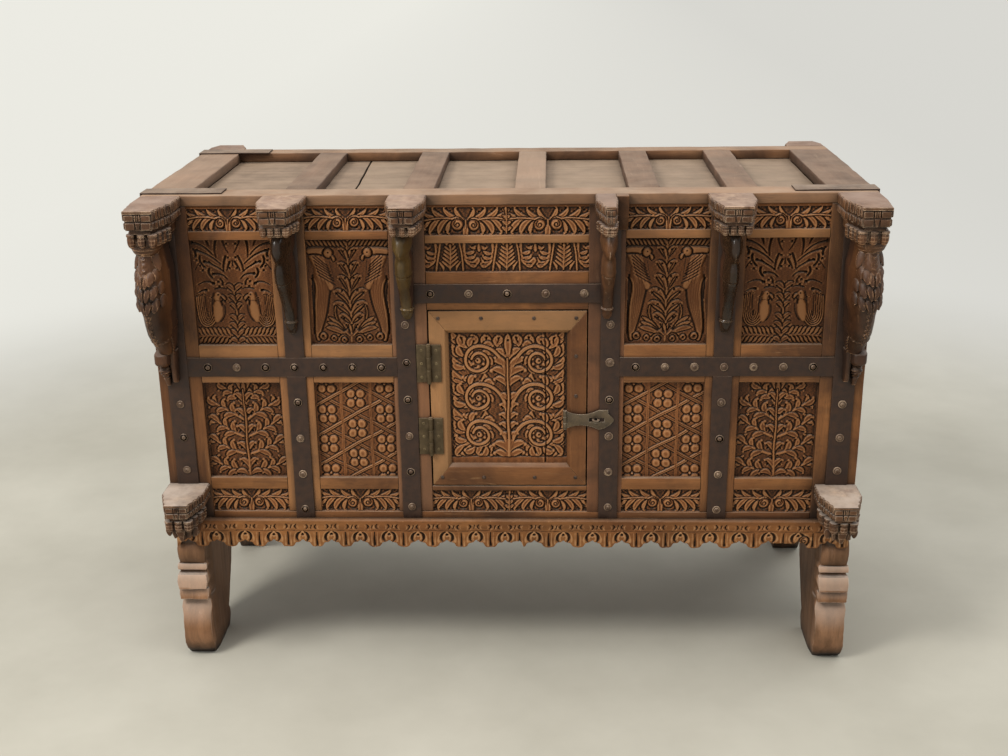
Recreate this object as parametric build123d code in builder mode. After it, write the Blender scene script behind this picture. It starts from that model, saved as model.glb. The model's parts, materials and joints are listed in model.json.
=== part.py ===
"""Damchiya chest: a panelled quilt chest on carved legs, with iron straps and one small locked door.

Millimetres, +X to the right of the front, +Y to the back, +Z up. The origin is on the floor, under the
middle of the chest's overall box.
"""

import math
import os

from build123d import *

# ---- overall sizes
body_width = 1340.0
body_depth = 500.0
body_height = 957.0
front_reach = 132.0  # corner brackets ahead of the front frame
rear_reach = 62.0  # rear capitals and back feet behind the back frame

# ---- carcase frame
post_width = 83.0
post_depth = 62.0
post_foot = 265.0  # underside of the corner posts
frame_thickness = 32.0
bottom_rail_drop = 28.0
jamb_width = 67.0
muntin_width = 65.0
muntin_centre = 404.0
door_opening_half = 151.0

# ---- heights up the side bays of the front, from the top of the bottom rail
bottom_rail_top = 325.0
lower_frieze_height = 48.0
lower_rail_height = 24.0
lower_panel_height = 198.0
middle_rail_height = 75.0
upper_panel_height = 204.0
upper_rail_height = 16.0

# ---- heights up the centre bay of the front
centre_frieze_height = 45.0
sill_height = 10.0
door_opening_height = 359.0
lintel_height = 73.0
middle_frieze_height = 54.0
centre_rail_height = 15.0

# ---- panels held in grooves
panel_recess = 10.0
panel_thickness = 15.0
frieze_recess = 4.0
frieze_thickness = 14.0
groove_depth = 5.0

# ---- top
top_frame_thickness = 20.0
top_front_rail_width = 57.0
top_back_rail_width = 45.0
slat_width = 58.0
slat_centres = (-384.0, -164.0, 43.0, 254.0, 433.0)
top_board_thickness = 12.0

# ---- floor and back
floor_board_thickness = 14.0
floor_board_count = 6
floor_bearer_width = 40.0
floor_bearer_height = 26.0
back_board_count = 4

# ---- legs
leg_width = 60.0
front_leg_root = 215.0  # how far back a front leg reaches under the body
front_heel = 122.0
heel_height = 44.0
heel_bulge = 7.0  # the heel's round beyond the heel
heel_sweep = (170.0, 118.0)  # back and up to the middle of the curve from the heel to the root
knee_height = 238.0
knee_reach = 14.0
ankle_top = 211.0
ankle_foot = 128.0
ankle_reach = 4.0
toe_reach = 20.0
toe_height = 62.0
sole_start = 8.0  # sole behind the front of the body
sole_round = 14.0
upper_band = (199.0, 211.0)  # foot and top of a flared band
middle_band = (160.0, 190.0)
lower_band = (135.0, 157.0)
upper_band_reach = 10.0
middle_band_reach = 20.0
lower_band_reach = 16.0
band_taper = 0.75  # a band's top reaches this share of what its foot does
band_root = 30.0
back_leg_root = 130.0  # how far forward a back leg reaches under the body
back_foot_start = 12.0  # a back foot starts this far inside the back of the body
back_foot_trim = 4.0  # a back foot ends this far inside the rear capitals' reach
back_foot_round = 14.0
back_leg_inner = (88.0, 140.0)  # forward of the back and up, to the middle of the leg's front curve
back_leg_outer = (22.0, 140.0)  # behind the back and up, to the middle of the leg's back curve
rail_foot = bottom_rail_top - bottom_rail_drop

# ---- apron
apron_thickness = 18.0
apron_top = 312.0
apron_tip = 250.0
apron_notch = 22.0  # from the lobes' tips up to the notches between them
apron_shoulder = 14.0  # from the lobes' tips up to their shoulders
apron_tenon = 4.0
lobe_count = 22
lobe_share = 0.5  # share of one pitch taken by the hanging lobe
shoulder_step = 3.0
shoulder_drop = 5.0

# ---- brackets, corbels and rear capitals
slab_thickness = 15.0
second_tier = 16.0
tier_inset = 4.0
neck_height = 5.0
neck_inset = 10.0
bell_height = 18.0
bell_width = 11.0
bell_inset = 3.0
bell_gap = 4.0
bell_taper = 9.0  # degrees
bell_side_rows = 2
nose_steps = 3
straight_share = 0.5  # share of a slab's reach that runs straight before the steps
corner_wall_width = 76.0
corner_nose_width = 55.0
corner_nose_set = 6.0  # the nose and the bird stand this far inside the side of the body
muntin_slab_wall = 82.0
muntin_slab_nose = 55.0
left_jamb_slab_wall = 71.0
left_jamb_slab_nose = 48.0
left_jamb_slab_centre = 179.0
jamb_bracket_set = 7.0  # the bird stands this far outward of its slab's middle
inner_reach = 118.0
bracket_width = 28.0
bracket_crown = 0.78  # shares of the bird's reach
bracket_breast = 0.72
bracket_waist = 0.42
bracket_thigh = 0.17
bracket_toe = 16.0
bracket_toe_height = 12.0
bracket_sole = 11.0
bracket_sole_height = 3.0
muntin_bracket_foot = 697.0
jamb_bracket_foot = 724.0
patched_slab_inner = 163.0
patched_slab_wall = 35.0
patched_slab_nose = 18.0
patched_nose_shift = 13.0
patched_body_shift = 22.0
patched_bracket_width = 25.0
patched_trim = 0.35
patch_gap = 0.25
patch_reach = 24.0
patch_width = 23.0
patch_drop = 67.0
patch_waist = 0.6  # shares of the patch's drop and reach
patch_waist_reach = 0.75
bird_width = 46.0
bird_foot = 714.0
bird_neck_reach = 103.0
bird_breast_reach = 111.0
bird_breast_drop = 40.0
bird_belly_reach = 98.0
bird_belly_drop = 88.0
bird_thigh_reach = 60.0
bird_thigh_drop = 142.0
bird_foot_reach = 34.0
bird_tail_width = 34.0
bird_tail_foot = 600.0
bird_tail_reach = 43.0
bird_tail_middle = 44.0  # from the bird's foot down to the widest place of its tail
bird_tail_tip = 12.0
corbel_reach = 107.0
corbel_top = 385.0
corbel_wall_width = 82.0
corbel_nose_width = 49.0
corbel_wall_side = 2.0  # corbel beyond the side of the body
corbel_base = 272.0
corbel_base_reach = 62.0
corbel_base_tiers = 3
rear_capital_wall = 80.0
rear_capital_nose = 58.0
rear_capital_base = 840.0
rear_capital_root = 0.6  # share of the reach that runs down to the base

# ---- iron straps
strap_thickness = 3.0
post_strap_width = 41.0
upright_strap_width = 36.0
cross_strap_width = 38.0
centre_strap_width = 36.0
post_strap_centre = 632.0
jamb_strap_centre = 192.0
cross_strap_centre = 627.0
centre_strap_centre = 771.0
corner_strap_width = 44.0
corner_strap_reach = 148.0
corner_strap_drop = 40.0
corner_strap_set = 13.0  # from the front of the body to the strap's edge

# ---- studs: a round washer under a domed nail
washer_radius = 8.0
washer_thickness = 1.4
dome_radius = 5.2
dome_height = 3.0
dome_taper = 22.0  # degrees
washer_sides = 8
dome_sides = 6
cross_stud_first = 240.0
cross_stud_last = 572.0
cross_stud_count = 7
centre_stud_last = 143.0
centre_stud_count = 5
jamb_stud_low = 337.0
jamb_stud_high = 711.0
jamb_stud_count = 6
muntin_stud_low = 332.0
muntin_stud_high = 556.0
muntin_stud_count = 4
post_stud_low = 415.0
post_stud_high = 552.0
post_stud_count = 3

# ---- door
door_gap = 2.5
door_thickness = 26.0
door_stile_width = 36.5
door_rail_width = 44.0
door_bevel = 7.0
door_panel_recess = 9.0
door_panel_thickness = 10.0

# ---- butt hinges
hinge_height = 74.5
hinge_leaf_width = 23.0
hinge_leaf_thickness = 2.5
hinge_barrel_radius = 4.5
hinge_pin_radius = 2.6
hinge_play = 0.06
hinge_stand_off = 0.5  # between the barrel and the face of the door, and between it and a leaf's plate
knuckle_count = 3
knuckle_gap = 0.4
hinge_centres = (486.0, 634.0)
pin_head_radius = 3.8
pin_head_height = 2.0
pin_head_sides = 8

# ---- hasp and staple
hasp_centre = 521.0
hasp_pivot = 108.0
hasp_tip = 201.0
hasp_thickness = 2.4
hasp_lift = 3.6  # back of the plate ahead of the face of the door
hasp_root_half = 19.0
hasp_waist_half = 11.0
hasp_waist = 136.0
hasp_head = 172.0
hasp_head_half = 20.0
hasp_shoulder = 190.0
hasp_shoulder_half = 13.0
hasp_tip_half = 4.0
hasp_tip_round = 2.0
hasp_slot_start = 154.0
hasp_slot_end = 183.0
hasp_slot_height = 8.0
hasp_barrel_radius = 4.0
hasp_pin_radius = 1.6
hasp_leaf_length = 30.0
hasp_leaf_thickness = 2.0
hasp_leaf_height = 14.0
staple_centre = 166.5
staple_bar = 4.0  # square iron bar
staple_leg_offset = 5.0
staple_reach = 18.0
staple_depth = 20.0
staple_play = 0.05

# ---- places worked out from the sizes
front = -(body_depth + rear_reach - front_reach) / 2
back = front + body_depth
half_width = body_width / 2
post_inner = half_width - post_width
jamb_outer = door_opening_half + jamb_width
frame_top = body_height - top_frame_thickness
frame_back = front + frame_thickness
rear_frame_front = back - frame_thickness

lower_frieze_top = bottom_rail_top + lower_frieze_height
lower_panel_foot = lower_frieze_top + lower_rail_height
middle_rail_foot = lower_panel_foot + lower_panel_height
middle_rail_top = middle_rail_foot + middle_rail_height
upper_rail_foot = middle_rail_top + upper_panel_height
upper_rail_top = upper_rail_foot + upper_rail_height

centre_frieze_top = bottom_rail_top + centre_frieze_height
sill_top = centre_frieze_top + sill_height
lintel_foot = sill_top + door_opening_height
lintel_top = lintel_foot + lintel_height
centre_rail_foot = lintel_top + middle_frieze_height
centre_rail_top = centre_rail_foot + centre_rail_height

inner_bay = (jamb_outer, muntin_centre - muntin_width / 2)
outer_bay = (muntin_centre + muntin_width / 2, post_inner)
strap_face = front - strap_thickness
strap_top = body_height - slab_thickness - second_tier - neck_height - bell_height
SIDES = {"left": -1, "right": 1}


def on_side(span, side):
    """The same span of x on the right half (side 1) or mirrored to the left half (side -1)."""
    return tuple(sorted((side * span[0], side * span[1])))


def beam(x, y, z, mode=Mode.ADD):
    """Adds a square-sawn piece, or cuts its room, over three spans to the part being built."""
    with Locations((x[0], y[0], z[0])):
        Box(x[1] - x[0], y[1] - y[0], z[1] - z[0], align=(Align.MIN, Align.MIN, Align.MIN), mode=mode)


def widen(span, by):
    return (span[0] - by, span[1] + by)


def even(first, last, count):
    """Evenly spaced places from first to last."""
    return [first + (last - first) * step / (count - 1) for step in range(count)]


def save(builder, node):
    builder.part.label = node
    export_step(builder.part, f"parts/{node}.step")


# ---- seats: where each panel and frieze stands, as spans of x, y and z with its tongues
def panel_seat(x, z, recess=panel_recess, thickness=panel_thickness):
    face = front + recess
    return (widen(x, groove_depth), (face, face + thickness), widen(z, groove_depth))


def frieze_seat(x, z):
    return panel_seat(x, z, frieze_recess, frieze_thickness)


upper_panel_span = (middle_rail_top, upper_rail_foot)
lower_panel_span = (lower_panel_foot, middle_rail_foot)
upper_frieze_span = (upper_rail_top, frame_top - groove_depth)
lower_frieze_span = (bottom_rail_top, lower_frieze_top)
# a frieze's own tongue stands above its span, so the uppermost ones end one groove under the top

panel_seats = {}
upper_frieze_seats = []
lower_frieze_seats = []
for side_name, side in SIDES.items():
    outer_x = on_side(outer_bay, side)
    inner_x = on_side(inner_bay, side)
    panel_seats[f"peacock_panel_{side_name}"] = panel_seat(outer_x, upper_panel_span)
    panel_seats[f"parrot_panel_{side_name}"] = panel_seat(inner_x, upper_panel_span)
    panel_seats[f"tree_panel_{side_name}"] = panel_seat(outer_x, lower_panel_span)
    panel_seats[f"lattice_panel_{side_name}"] = panel_seat(inner_x, lower_panel_span)
    for bay_x in (outer_x, inner_x):
        upper_frieze_seats.append(frieze_seat(bay_x, upper_frieze_span))
        lower_frieze_seats.append(frieze_seat(bay_x, lower_frieze_span))

centre_x = (-door_opening_half, door_opening_half)
centre_frieze_seats = [
    frieze_seat(centre_x, (bottom_rail_top, centre_frieze_top)),
    frieze_seat(centre_x, (lintel_top, centre_rail_foot)),
    frieze_seat(centre_x, (centre_rail_top, frame_top - groove_depth)),
]
front_seats = [*panel_seats.values(), *upper_frieze_seats, *lower_frieze_seats, *centre_frieze_seats]

# the sides and the back: plain panels between rails, two tiers high
side_tiers = (
    (lower_frieze_top, middle_rail_foot),
    (middle_rail_top, upper_rail_foot),
)
side_post_inner = (front + post_depth, back - post_depth)
side_middle = (side_post_inner[0] + side_post_inner[1]) / 2
side_bays = (
    (side_post_inner[0], side_middle - muntin_width / 2),
    (side_middle + muntin_width / 2, side_post_inner[1]),
)
side_rail_spans = (
    (rail_foot, lower_frieze_top),
    (middle_rail_foot, middle_rail_top),
    (upper_rail_foot, frame_top),
)


def side_skin(side, recess, thickness):
    return on_side((half_width - recess - thickness, half_width - recess), side)


side_seats = {
    name: [
        (side_skin(side, panel_recess, panel_thickness), widen(bay, groove_depth), widen(tier, groove_depth))
        for bay in side_bays
        for tier in side_tiers
    ]
    for name, side in SIDES.items()
}
back_panel_y = (back - panel_recess - panel_thickness, back - panel_recess)
back_board_edges = even(-post_inner - groove_depth, post_inner + groove_depth, back_board_count + 1)
back_seats = [
    ((low, high), back_panel_y, widen(tier, groove_depth))
    for tier in side_tiers
    for low, high in zip(back_board_edges, back_board_edges[1:])
]


def cut_grooves(seats):
    """Cuts the grooves that the given panels stand in out of the member being built."""
    for x, y, z in seats:
        beam(x, y, z, mode=Mode.SUBTRACT)


# ---- carcase frame
def make_post(side, y, seats):
    with BuildPart() as post:
        beam(on_side((post_inner, half_width), side), y, (post_foot, frame_top))
        cut_grooves(seats)
    return post


def make_front_rail(side, z):
    """A side-bay rail, halved at the back where the muntin crosses in front of it."""
    with BuildPart() as rail:
        beam(on_side((jamb_outer, post_inner), side), (front, frame_back), z)
        crossing = on_side((inner_bay[1], outer_bay[0]), side)
        beam(crossing, (front, front + frame_thickness / 2), z, mode=Mode.SUBTRACT)
        cut_grooves(front_seats)
    return rail


def make_muntin(side):
    """The upright between two bays, halved at the front over the three rails."""
    with BuildPart() as muntin:
        x = on_side((inner_bay[1], outer_bay[0]), side)
        beam(x, (front, frame_back), (bottom_rail_top, frame_top))
        for z in front_rail_spans:
            beam(x, (front + frame_thickness / 2, frame_back), z, mode=Mode.SUBTRACT)
        cut_grooves(front_seats)
    return muntin


def make_jamb(side):
    with BuildPart() as jamb:
        x = on_side((door_opening_half, jamb_outer), side)
        beam(x, (front, frame_back), (bottom_rail_top, frame_top))
        cut_grooves(front_seats)
        if side > 0:
            for centre in staple_legs:
                hole_x = widen((centre, centre), staple_bar / 2 + staple_play)
                hole_z = widen((hasp_centre, hasp_centre), staple_bar / 2 + staple_play)
                beam(hole_x, (front, front + staple_depth + staple_play), hole_z, mode=Mode.SUBTRACT)
    return jamb


def make_centre_member(z):
    with BuildPart() as member:
        beam(centre_x, (front, frame_back), z)
        cut_grooves(centre_frieze_seats)
    return member


front_rail_spans = (
    (lower_frieze_top, lower_panel_foot),
    (middle_rail_foot, middle_rail_top),
    (upper_rail_foot, upper_rail_top),
)
staple_legs = (staple_centre - staple_leg_offset, staple_centre + staple_leg_offset)


# ---- legs
def make_front_leg(side):
    """A thick plank sawn to a scrolled foot, with three flared bands round its ankle."""
    x = on_side((half_width - leg_width, half_width), side)
    ankle = front - ankle_reach
    sole = front + sole_start
    toe_end = (sole - sole_round, sole_round)
    heel = front + front_heel
    root = front + front_leg_root
    heel_low = (heel - heel_bulge, 0)
    heel_high = (heel, heel_height)
    with BuildPart() as leg:
        with BuildSketch(Plane.YZ.offset(x[0])):
            with BuildLine():
                ThreePointArc((front, post_foot), (front - knee_reach, knee_height), (ankle, ankle_top))
                Line((ankle, ankle_top), (ankle, ankle_foot))
                ThreePointArc((ankle, ankle_foot), (front - toe_reach, toe_height), toe_end)
                Line(toe_end, (sole, 0))
                Line((sole, 0), heel_low)
                ThreePointArc(heel_low, (heel + heel_bulge, heel_height / 3), heel_high)
                ThreePointArc(heel_high, (front + heel_sweep[0], heel_sweep[1]), (root, rail_foot))
                Line((root, rail_foot), (front + post_depth, rail_foot))
                Line((front + post_depth, rail_foot), (front + post_depth, post_foot))
                Line((front + post_depth, post_foot), (front, post_foot))
            make_face()
        extrude(amount=leg_width)
        for (low, high), reach in (
            (upper_band, upper_band_reach),
            (middle_band, middle_band_reach),
            (lower_band, lower_band_reach),
        ):
            with BuildSketch(Plane.YZ.offset(x[0])):
                with BuildLine():
                    Polyline(
                        (front + band_root, low),
                        (front - reach, low),
                        (front - reach * band_taper, high),
                        (front + band_root, high),
                        close=True,
                    )
                make_face()
            extrude(amount=leg_width)
    return leg


def make_back_leg(side):
    """A plain raked leg that sweeps back from under the body to its foot."""
    x = on_side((half_width - leg_width, half_width), side)
    foot_start = (back - back_foot_start, 0)
    foot_end = back + rear_reach - back_foot_trim
    inner_top = (back - back_leg_root, rail_foot)
    outer_middle = (back + back_leg_outer[0], back_leg_outer[1])
    with BuildPart() as leg:
        with BuildSketch(Plane.YZ.offset(x[0])):
            with BuildLine():
                ThreePointArc(inner_top, (back - back_leg_inner[0], back_leg_inner[1]), foot_start)
                Line(foot_start, (foot_end - back_foot_round, 0))
                Line((foot_end - back_foot_round, 0), (foot_end, back_foot_round))
                ThreePointArc((foot_end, back_foot_round), outer_middle, (back, post_foot))
                Line((back, post_foot), (back - post_depth, post_foot))
                Line((back - post_depth, post_foot), (back - post_depth, rail_foot))
                Line((back - post_depth, rail_foot), inner_top)
            make_face()
        extrude(amount=leg_width)
    return leg


# ---- apron
def make_apron():
    """A board with hanging lobes: each lobe's round end, then a step up to a pointed notch."""
    reach = post_inner + apron_tenon
    pitch = 2 * reach / lobe_count
    half_lobe = pitch * lobe_share / 2
    notch = apron_tip + apron_notch
    shoulder = apron_tip + apron_shoulder
    lobe_top = shoulder - shoulder_drop
    with BuildPart() as apron:
        with BuildSketch(Plane.XZ.offset(-front)):
            with BuildLine():
                for step in range(lobe_count):
                    left = -reach + step * pitch
                    middle = left + pitch / 2
                    lobe = (middle - half_lobe, middle + half_lobe)
                    Polyline((left, notch), (lobe[0] - shoulder_step, shoulder), (lobe[0], lobe_top))
                    ThreePointArc((lobe[0], lobe_top), (middle, apron_tip), (lobe[1], lobe_top))
                    Polyline((lobe[1], lobe_top), (lobe[1] + shoulder_step, shoulder), (left + pitch, notch))
                Polyline((reach, notch), (reach, apron_top), (-reach, apron_top), (-reach, notch))
            make_face()
        extrude(amount=apron_thickness)
    return apron


# ---- capitals
def slab_outline(wall, nose, y_wall, y_nose, inset):
    """Plan of one tier: square at the wall, with the two front corners cut back in small steps."""
    y_turn = y_wall + (y_nose - y_wall) * straight_share
    toward = math.copysign(1, y_nose - y_wall)
    y_end = y_nose - toward * inset
    left = [(wall[0] + inset, y_wall), (wall[0] + inset, y_turn)]
    right = [(wall[1] - inset, y_wall), (wall[1] - inset, y_turn)]
    for step in range(1, nose_steps + 1):
        share = step / nose_steps
        y = y_turn + (y_end - y_turn) * share
        y_before = y_turn + (y_end - y_turn) * (share - 0.5 / nose_steps)
        x_left = wall[0] + (nose[0] - wall[0]) * share + inset
        x_right = wall[1] + (nose[1] - wall[1]) * share - inset
        left += [(x_left, y_before), (x_left, y)]
        right += [(x_right, y_before), (x_right, y)]
    return left + right[::-1]


def tier(wall, nose, y_wall, y_nose, z, inset):
    """Adds one tier of a capital between the two heights."""
    with BuildSketch(Plane.XY.offset(z[0])) as plan:
        with BuildLine():
            Polyline(*slab_outline(wall, nose, y_wall, y_nose, inset), close=True)
        make_face()
    extrude(plan.sketch, amount=z[1] - z[0])


def bell_row(nose, y_wall, y_nose, z_top, trim):
    """Adds the row of hanging lotus bells along a capital's nose and down its two sides."""
    toward = math.copysign(1, y_nose - y_wall)
    y_front = y_nose - toward * (neck_inset * trim + bell_width / 2 - bell_inset * trim)
    span = widen(nose, -(bell_width * trim / 2) - bell_inset * trim)
    pitch = bell_width + bell_gap
    across = max(2, round((span[1] - span[0]) / pitch) + 1)
    places = [(x, y_front) for x in even(span[0], span[1], across)]
    for row in range(1, bell_side_rows + 1):
        y = y_front - toward * row * pitch
        places += [(span[0], y), (span[1], y)]
    with BuildSketch(Plane.XY.offset(z_top)) as tops:
        with Locations(*places):
            Rectangle(bell_width, bell_width)
    extrude(tops.sketch, amount=-bell_height, taper=bell_taper)


def capital(wall, nose, y_wall, y_nose, z_top, trim=1.0):
    """Adds a stepped capital with its bells to the part being built and returns its underside height.

    A trim under 1 makes every step back smaller, for a capital that has lost its sides.
    """
    slab_foot = z_top - slab_thickness
    second_foot = slab_foot - second_tier
    neck_foot = second_foot - neck_height
    bell_foot = neck_foot - bell_height
    tier(wall, nose, y_wall, y_nose, (slab_foot, z_top), 0)
    tier(wall, nose, y_wall, y_nose, (second_foot, slab_foot), tier_inset * trim)
    tier(wall, nose, y_wall, y_nose, (neck_foot, second_foot), neck_inset * trim)
    tier(wall, nose, y_wall, y_nose, (bell_foot, neck_foot), (neck_inset + bell_inset) * trim)
    bell_row(nose, y_wall, y_nose, neck_foot, trim)
    return bell_foot


def parrot_body(centre, width, reach, foot, z_top):
    """Adds the long worn bird of an inner bracket, from under the capital down to its foot on the strap."""
    drop = z_top - foot
    crown = (strap_face - reach * bracket_crown, z_top)
    waist = (strap_face - reach * bracket_waist, z_top - drop * 0.5)
    toe = (strap_face - bracket_toe, foot + bracket_toe_height)
    with BuildSketch(Plane.YZ.offset(centre - width / 2)) as profile:
        with BuildLine():
            Polyline((strap_face, foot), (strap_face, z_top), crown)
            ThreePointArc(crown, (strap_face - reach * bracket_breast, z_top - drop * 0.25), waist)
            ThreePointArc(waist, (strap_face - reach * bracket_thigh, z_top - drop * 0.75), toe)
            Polyline(toe, (strap_face - bracket_sole, foot + bracket_sole_height), (strap_face, foot))
        make_face()
    extrude(profile.sketch, amount=width)


def make_inner_bracket(wall, nose, body_centre, width, foot, trim=1.0):
    with BuildPart() as bracket:
        neck = capital(wall, nose, front, front - inner_reach, body_height, trim)
        parrot_body(body_centre, width, inner_reach, foot, neck)
    return bracket


def make_corner_bracket(side):
    """A capital over a full-breasted bird, with a tail and bud below."""
    wall = on_side((half_width - corner_wall_width, half_width), side)
    nose_outer = half_width - corner_nose_set
    nose = on_side((nose_outer - corner_nose_width, nose_outer), side)
    bird = on_side((nose_outer - bird_width, nose_outer), side)
    tail = on_side((nose_outer - bird_tail_width, nose_outer), side)
    with BuildPart() as bracket:
        neck = capital(wall, nose, front, front - front_reach, body_height)
        throat = (front - bird_neck_reach, neck)
        breast = (front - bird_breast_reach, neck - bird_breast_drop)
        belly = (front - bird_belly_reach, neck - bird_belly_drop)
        thigh = (front - bird_thigh_reach, neck - bird_thigh_drop)
        foot = (front - bird_foot_reach, bird_foot)
        with BuildSketch(Plane.YZ.offset(bird[0])) as profile:
            with BuildLine():
                Polyline(foot, (strap_face, bird_foot), (strap_face, neck), throat)
                ThreePointArc(throat, breast, belly)
                ThreePointArc(belly, thigh, foot)
            make_face()
        extrude(profile.sketch, amount=bird_width)
        tail_tip = (strap_face - bird_tail_tip, bird_tail_foot)
        with BuildSketch(Plane.YZ.offset(tail[0])) as profile:
            with BuildLine():
                Polyline((strap_face, bird_tail_foot), (strap_face, bird_foot), foot)
                ThreePointArc(foot, (front - bird_tail_reach, bird_foot - bird_tail_middle), tail_tip)
                Line(tail_tip, (strap_face, bird_tail_foot))
            make_face()
        extrude(profile.sketch, amount=bird_tail_width)
    return bracket


def make_corbel(side):
    """The stepped block at the foot of a front post, over the leg."""
    outer = half_width + corbel_wall_side
    wall = on_side((outer - corbel_wall_width, outer), side)
    middle = (wall[0] + wall[1]) / 2
    nose = (middle - corbel_nose_width / 2, middle + corbel_nose_width / 2)
    with BuildPart() as corbel:
        foot = capital(wall, nose, front, front - corbel_reach, corbel_top)
        drop = (foot - corbel_base) / corbel_base_tiers
        for row in range(corbel_base_tiers):
            z_top = foot - row * drop
            shrink = neck_inset + row * tier_inset
            cut_back = (corbel_reach - corbel_base_reach) * (row + 1) / corbel_base_tiers
            nose_y = front - corbel_reach + cut_back
            tier(wall, nose, front, nose_y, (z_top - drop, z_top), shrink)
    return corbel


def make_rear_capital(side):
    wall = on_side((half_width - rear_capital_wall, half_width), side)
    nose = widen(wall, (rear_capital_nose - rear_capital_wall) / 2)
    with BuildPart() as cap:
        foot = capital(wall, nose, back, back + rear_reach, body_height)
        root_y = back + rear_reach * rear_capital_root
        tier(wall, nose, back, root_y, (rear_capital_base, foot), neck_inset + tier_inset)
    return cap


# ---- door
door_x = (-door_opening_half + door_gap, door_opening_half - door_gap)
door_z = (sill_top + door_gap, lintel_foot - door_gap)
door_light_x = widen(door_x, -door_stile_width)
door_light_z = widen(door_z, -door_rail_width)
door_panel_face = front + door_panel_recess
door_panel_span = (
    widen(door_light_x, groove_depth),
    (door_panel_face, door_panel_face + door_panel_thickness),
    widen(door_light_z, groove_depth),
)


def make_door_member(corners):
    """One mitred side of the door's frame, bevelled along its inner edge.

    The corners run outer, outer, inner, inner.
    """
    inner_low, inner_high = corners[2], corners[3]
    with BuildPart() as member:
        with BuildSketch(Plane.XZ.offset(-front - door_thickness)):
            with BuildLine():
                Polyline(*corners, close=True)
            make_face()
        extrude(amount=door_thickness)
        middle = Vector((inner_low[0] + inner_high[0]) / 2, front, (inner_low[1] + inner_high[1]) / 2)
        chamfer(member.edges().sort_by_distance(middle)[0], door_bevel)
        beam(*door_panel_span, mode=Mode.SUBTRACT)
    return member


door_corners = [
    (door_x[0], door_z[0]),
    (door_x[1], door_z[0]),
    (door_x[1], door_z[1]),
    (door_x[0], door_z[1]),
]
light_corners = [
    (door_light_x[0], door_light_z[0]),
    (door_light_x[1], door_light_z[0]),
    (door_light_x[1], door_light_z[1]),
    (door_light_x[0], door_light_z[1]),
]

# ---- hinges
hinge_axis_x = -door_opening_half + door_gap / 2
hinge_axis_y = front - hinge_barrel_radius - hinge_stand_off


def knuckle_spans(foot, height, count, gap, wanted):
    """Height spans of every other knuckle of a barrel, the first of them when wanted is 0."""
    pitch = height / count
    return [
        (foot + step * pitch + gap / 2, foot + (step + 1) * pitch - gap / 2)
        for step in range(wanted, count, 2)
    ]


def barrel(x, y, radius, bore, spans):
    """Adds bored knuckles around a vertical axis."""
    for low, high in spans:
        with BuildSketch(Plane.XY.offset(low)) as ring:
            with Locations((x, y)):
                Circle(radius)
                Circle(bore, mode=Mode.SUBTRACT)
        extrude(ring.sketch, amount=high - low)


def make_hinge_leaves(side, wanted):
    """The leaves on one side of the gap, with the knuckles that belong to them."""
    with BuildPart() as leaves:
        for centre in hinge_centres:
            z = (centre - hinge_height / 2, centre + hinge_height / 2)
            x = sorted((hinge_axis_x + side * hinge_pin_radius, hinge_axis_x + side * hinge_leaf_width))
            spans = knuckle_spans(z[0], hinge_height, knuckle_count, knuckle_gap, wanted)
            plate_start = hinge_axis_x + side * (hinge_barrel_radius + hinge_stand_off)
            plate_x = sorted((plate_start, x[1] if side > 0 else x[0]))
            beam(plate_x, (front - hinge_leaf_thickness, front), z)
            for low, high in spans:
                tongue = sorted((hinge_axis_x, plate_x[0] if side > 0 else plate_x[1]))
                beam(tongue, (front - hinge_leaf_thickness, front - hinge_stand_off), (low, high))
            barrel(hinge_axis_x, hinge_axis_y, hinge_barrel_radius, hinge_pin_radius + hinge_play, spans)
            with BuildSketch(Plane.XY.offset(z[0])) as bore:
                with Locations((hinge_axis_x, hinge_axis_y)):
                    Circle(hinge_pin_radius + hinge_play)
            extrude(bore.sketch, amount=hinge_height, mode=Mode.SUBTRACT)
    return leaves


def make_hinge_pins():
    """Each pin is a rod with a hammered head at both ends."""
    with BuildPart() as pins:
        for centre in hinge_centres:
            foot = centre - hinge_height / 2
            with BuildSketch(Plane.XY.offset(foot)) as rod:
                with Locations((hinge_axis_x, hinge_axis_y)):
                    Circle(hinge_pin_radius)
            extrude(rod.sketch, amount=hinge_height)
            for z in (foot - pin_head_height, foot + hinge_height):
                with BuildSketch(Plane.XY.offset(z)) as head:
                    with Locations((hinge_axis_x, hinge_axis_y)):
                        RegularPolygon(pin_head_radius, pin_head_sides)
                extrude(head.sketch, amount=pin_head_height)
    return pins


# ---- hasp
hasp_barrel_foot = hasp_centre - hasp_root_half
hasp_barrel_height = 2 * hasp_root_half
hasp_axis_y = front - hasp_barrel_radius - hinge_stand_off
hasp_back = front - hasp_lift


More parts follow.
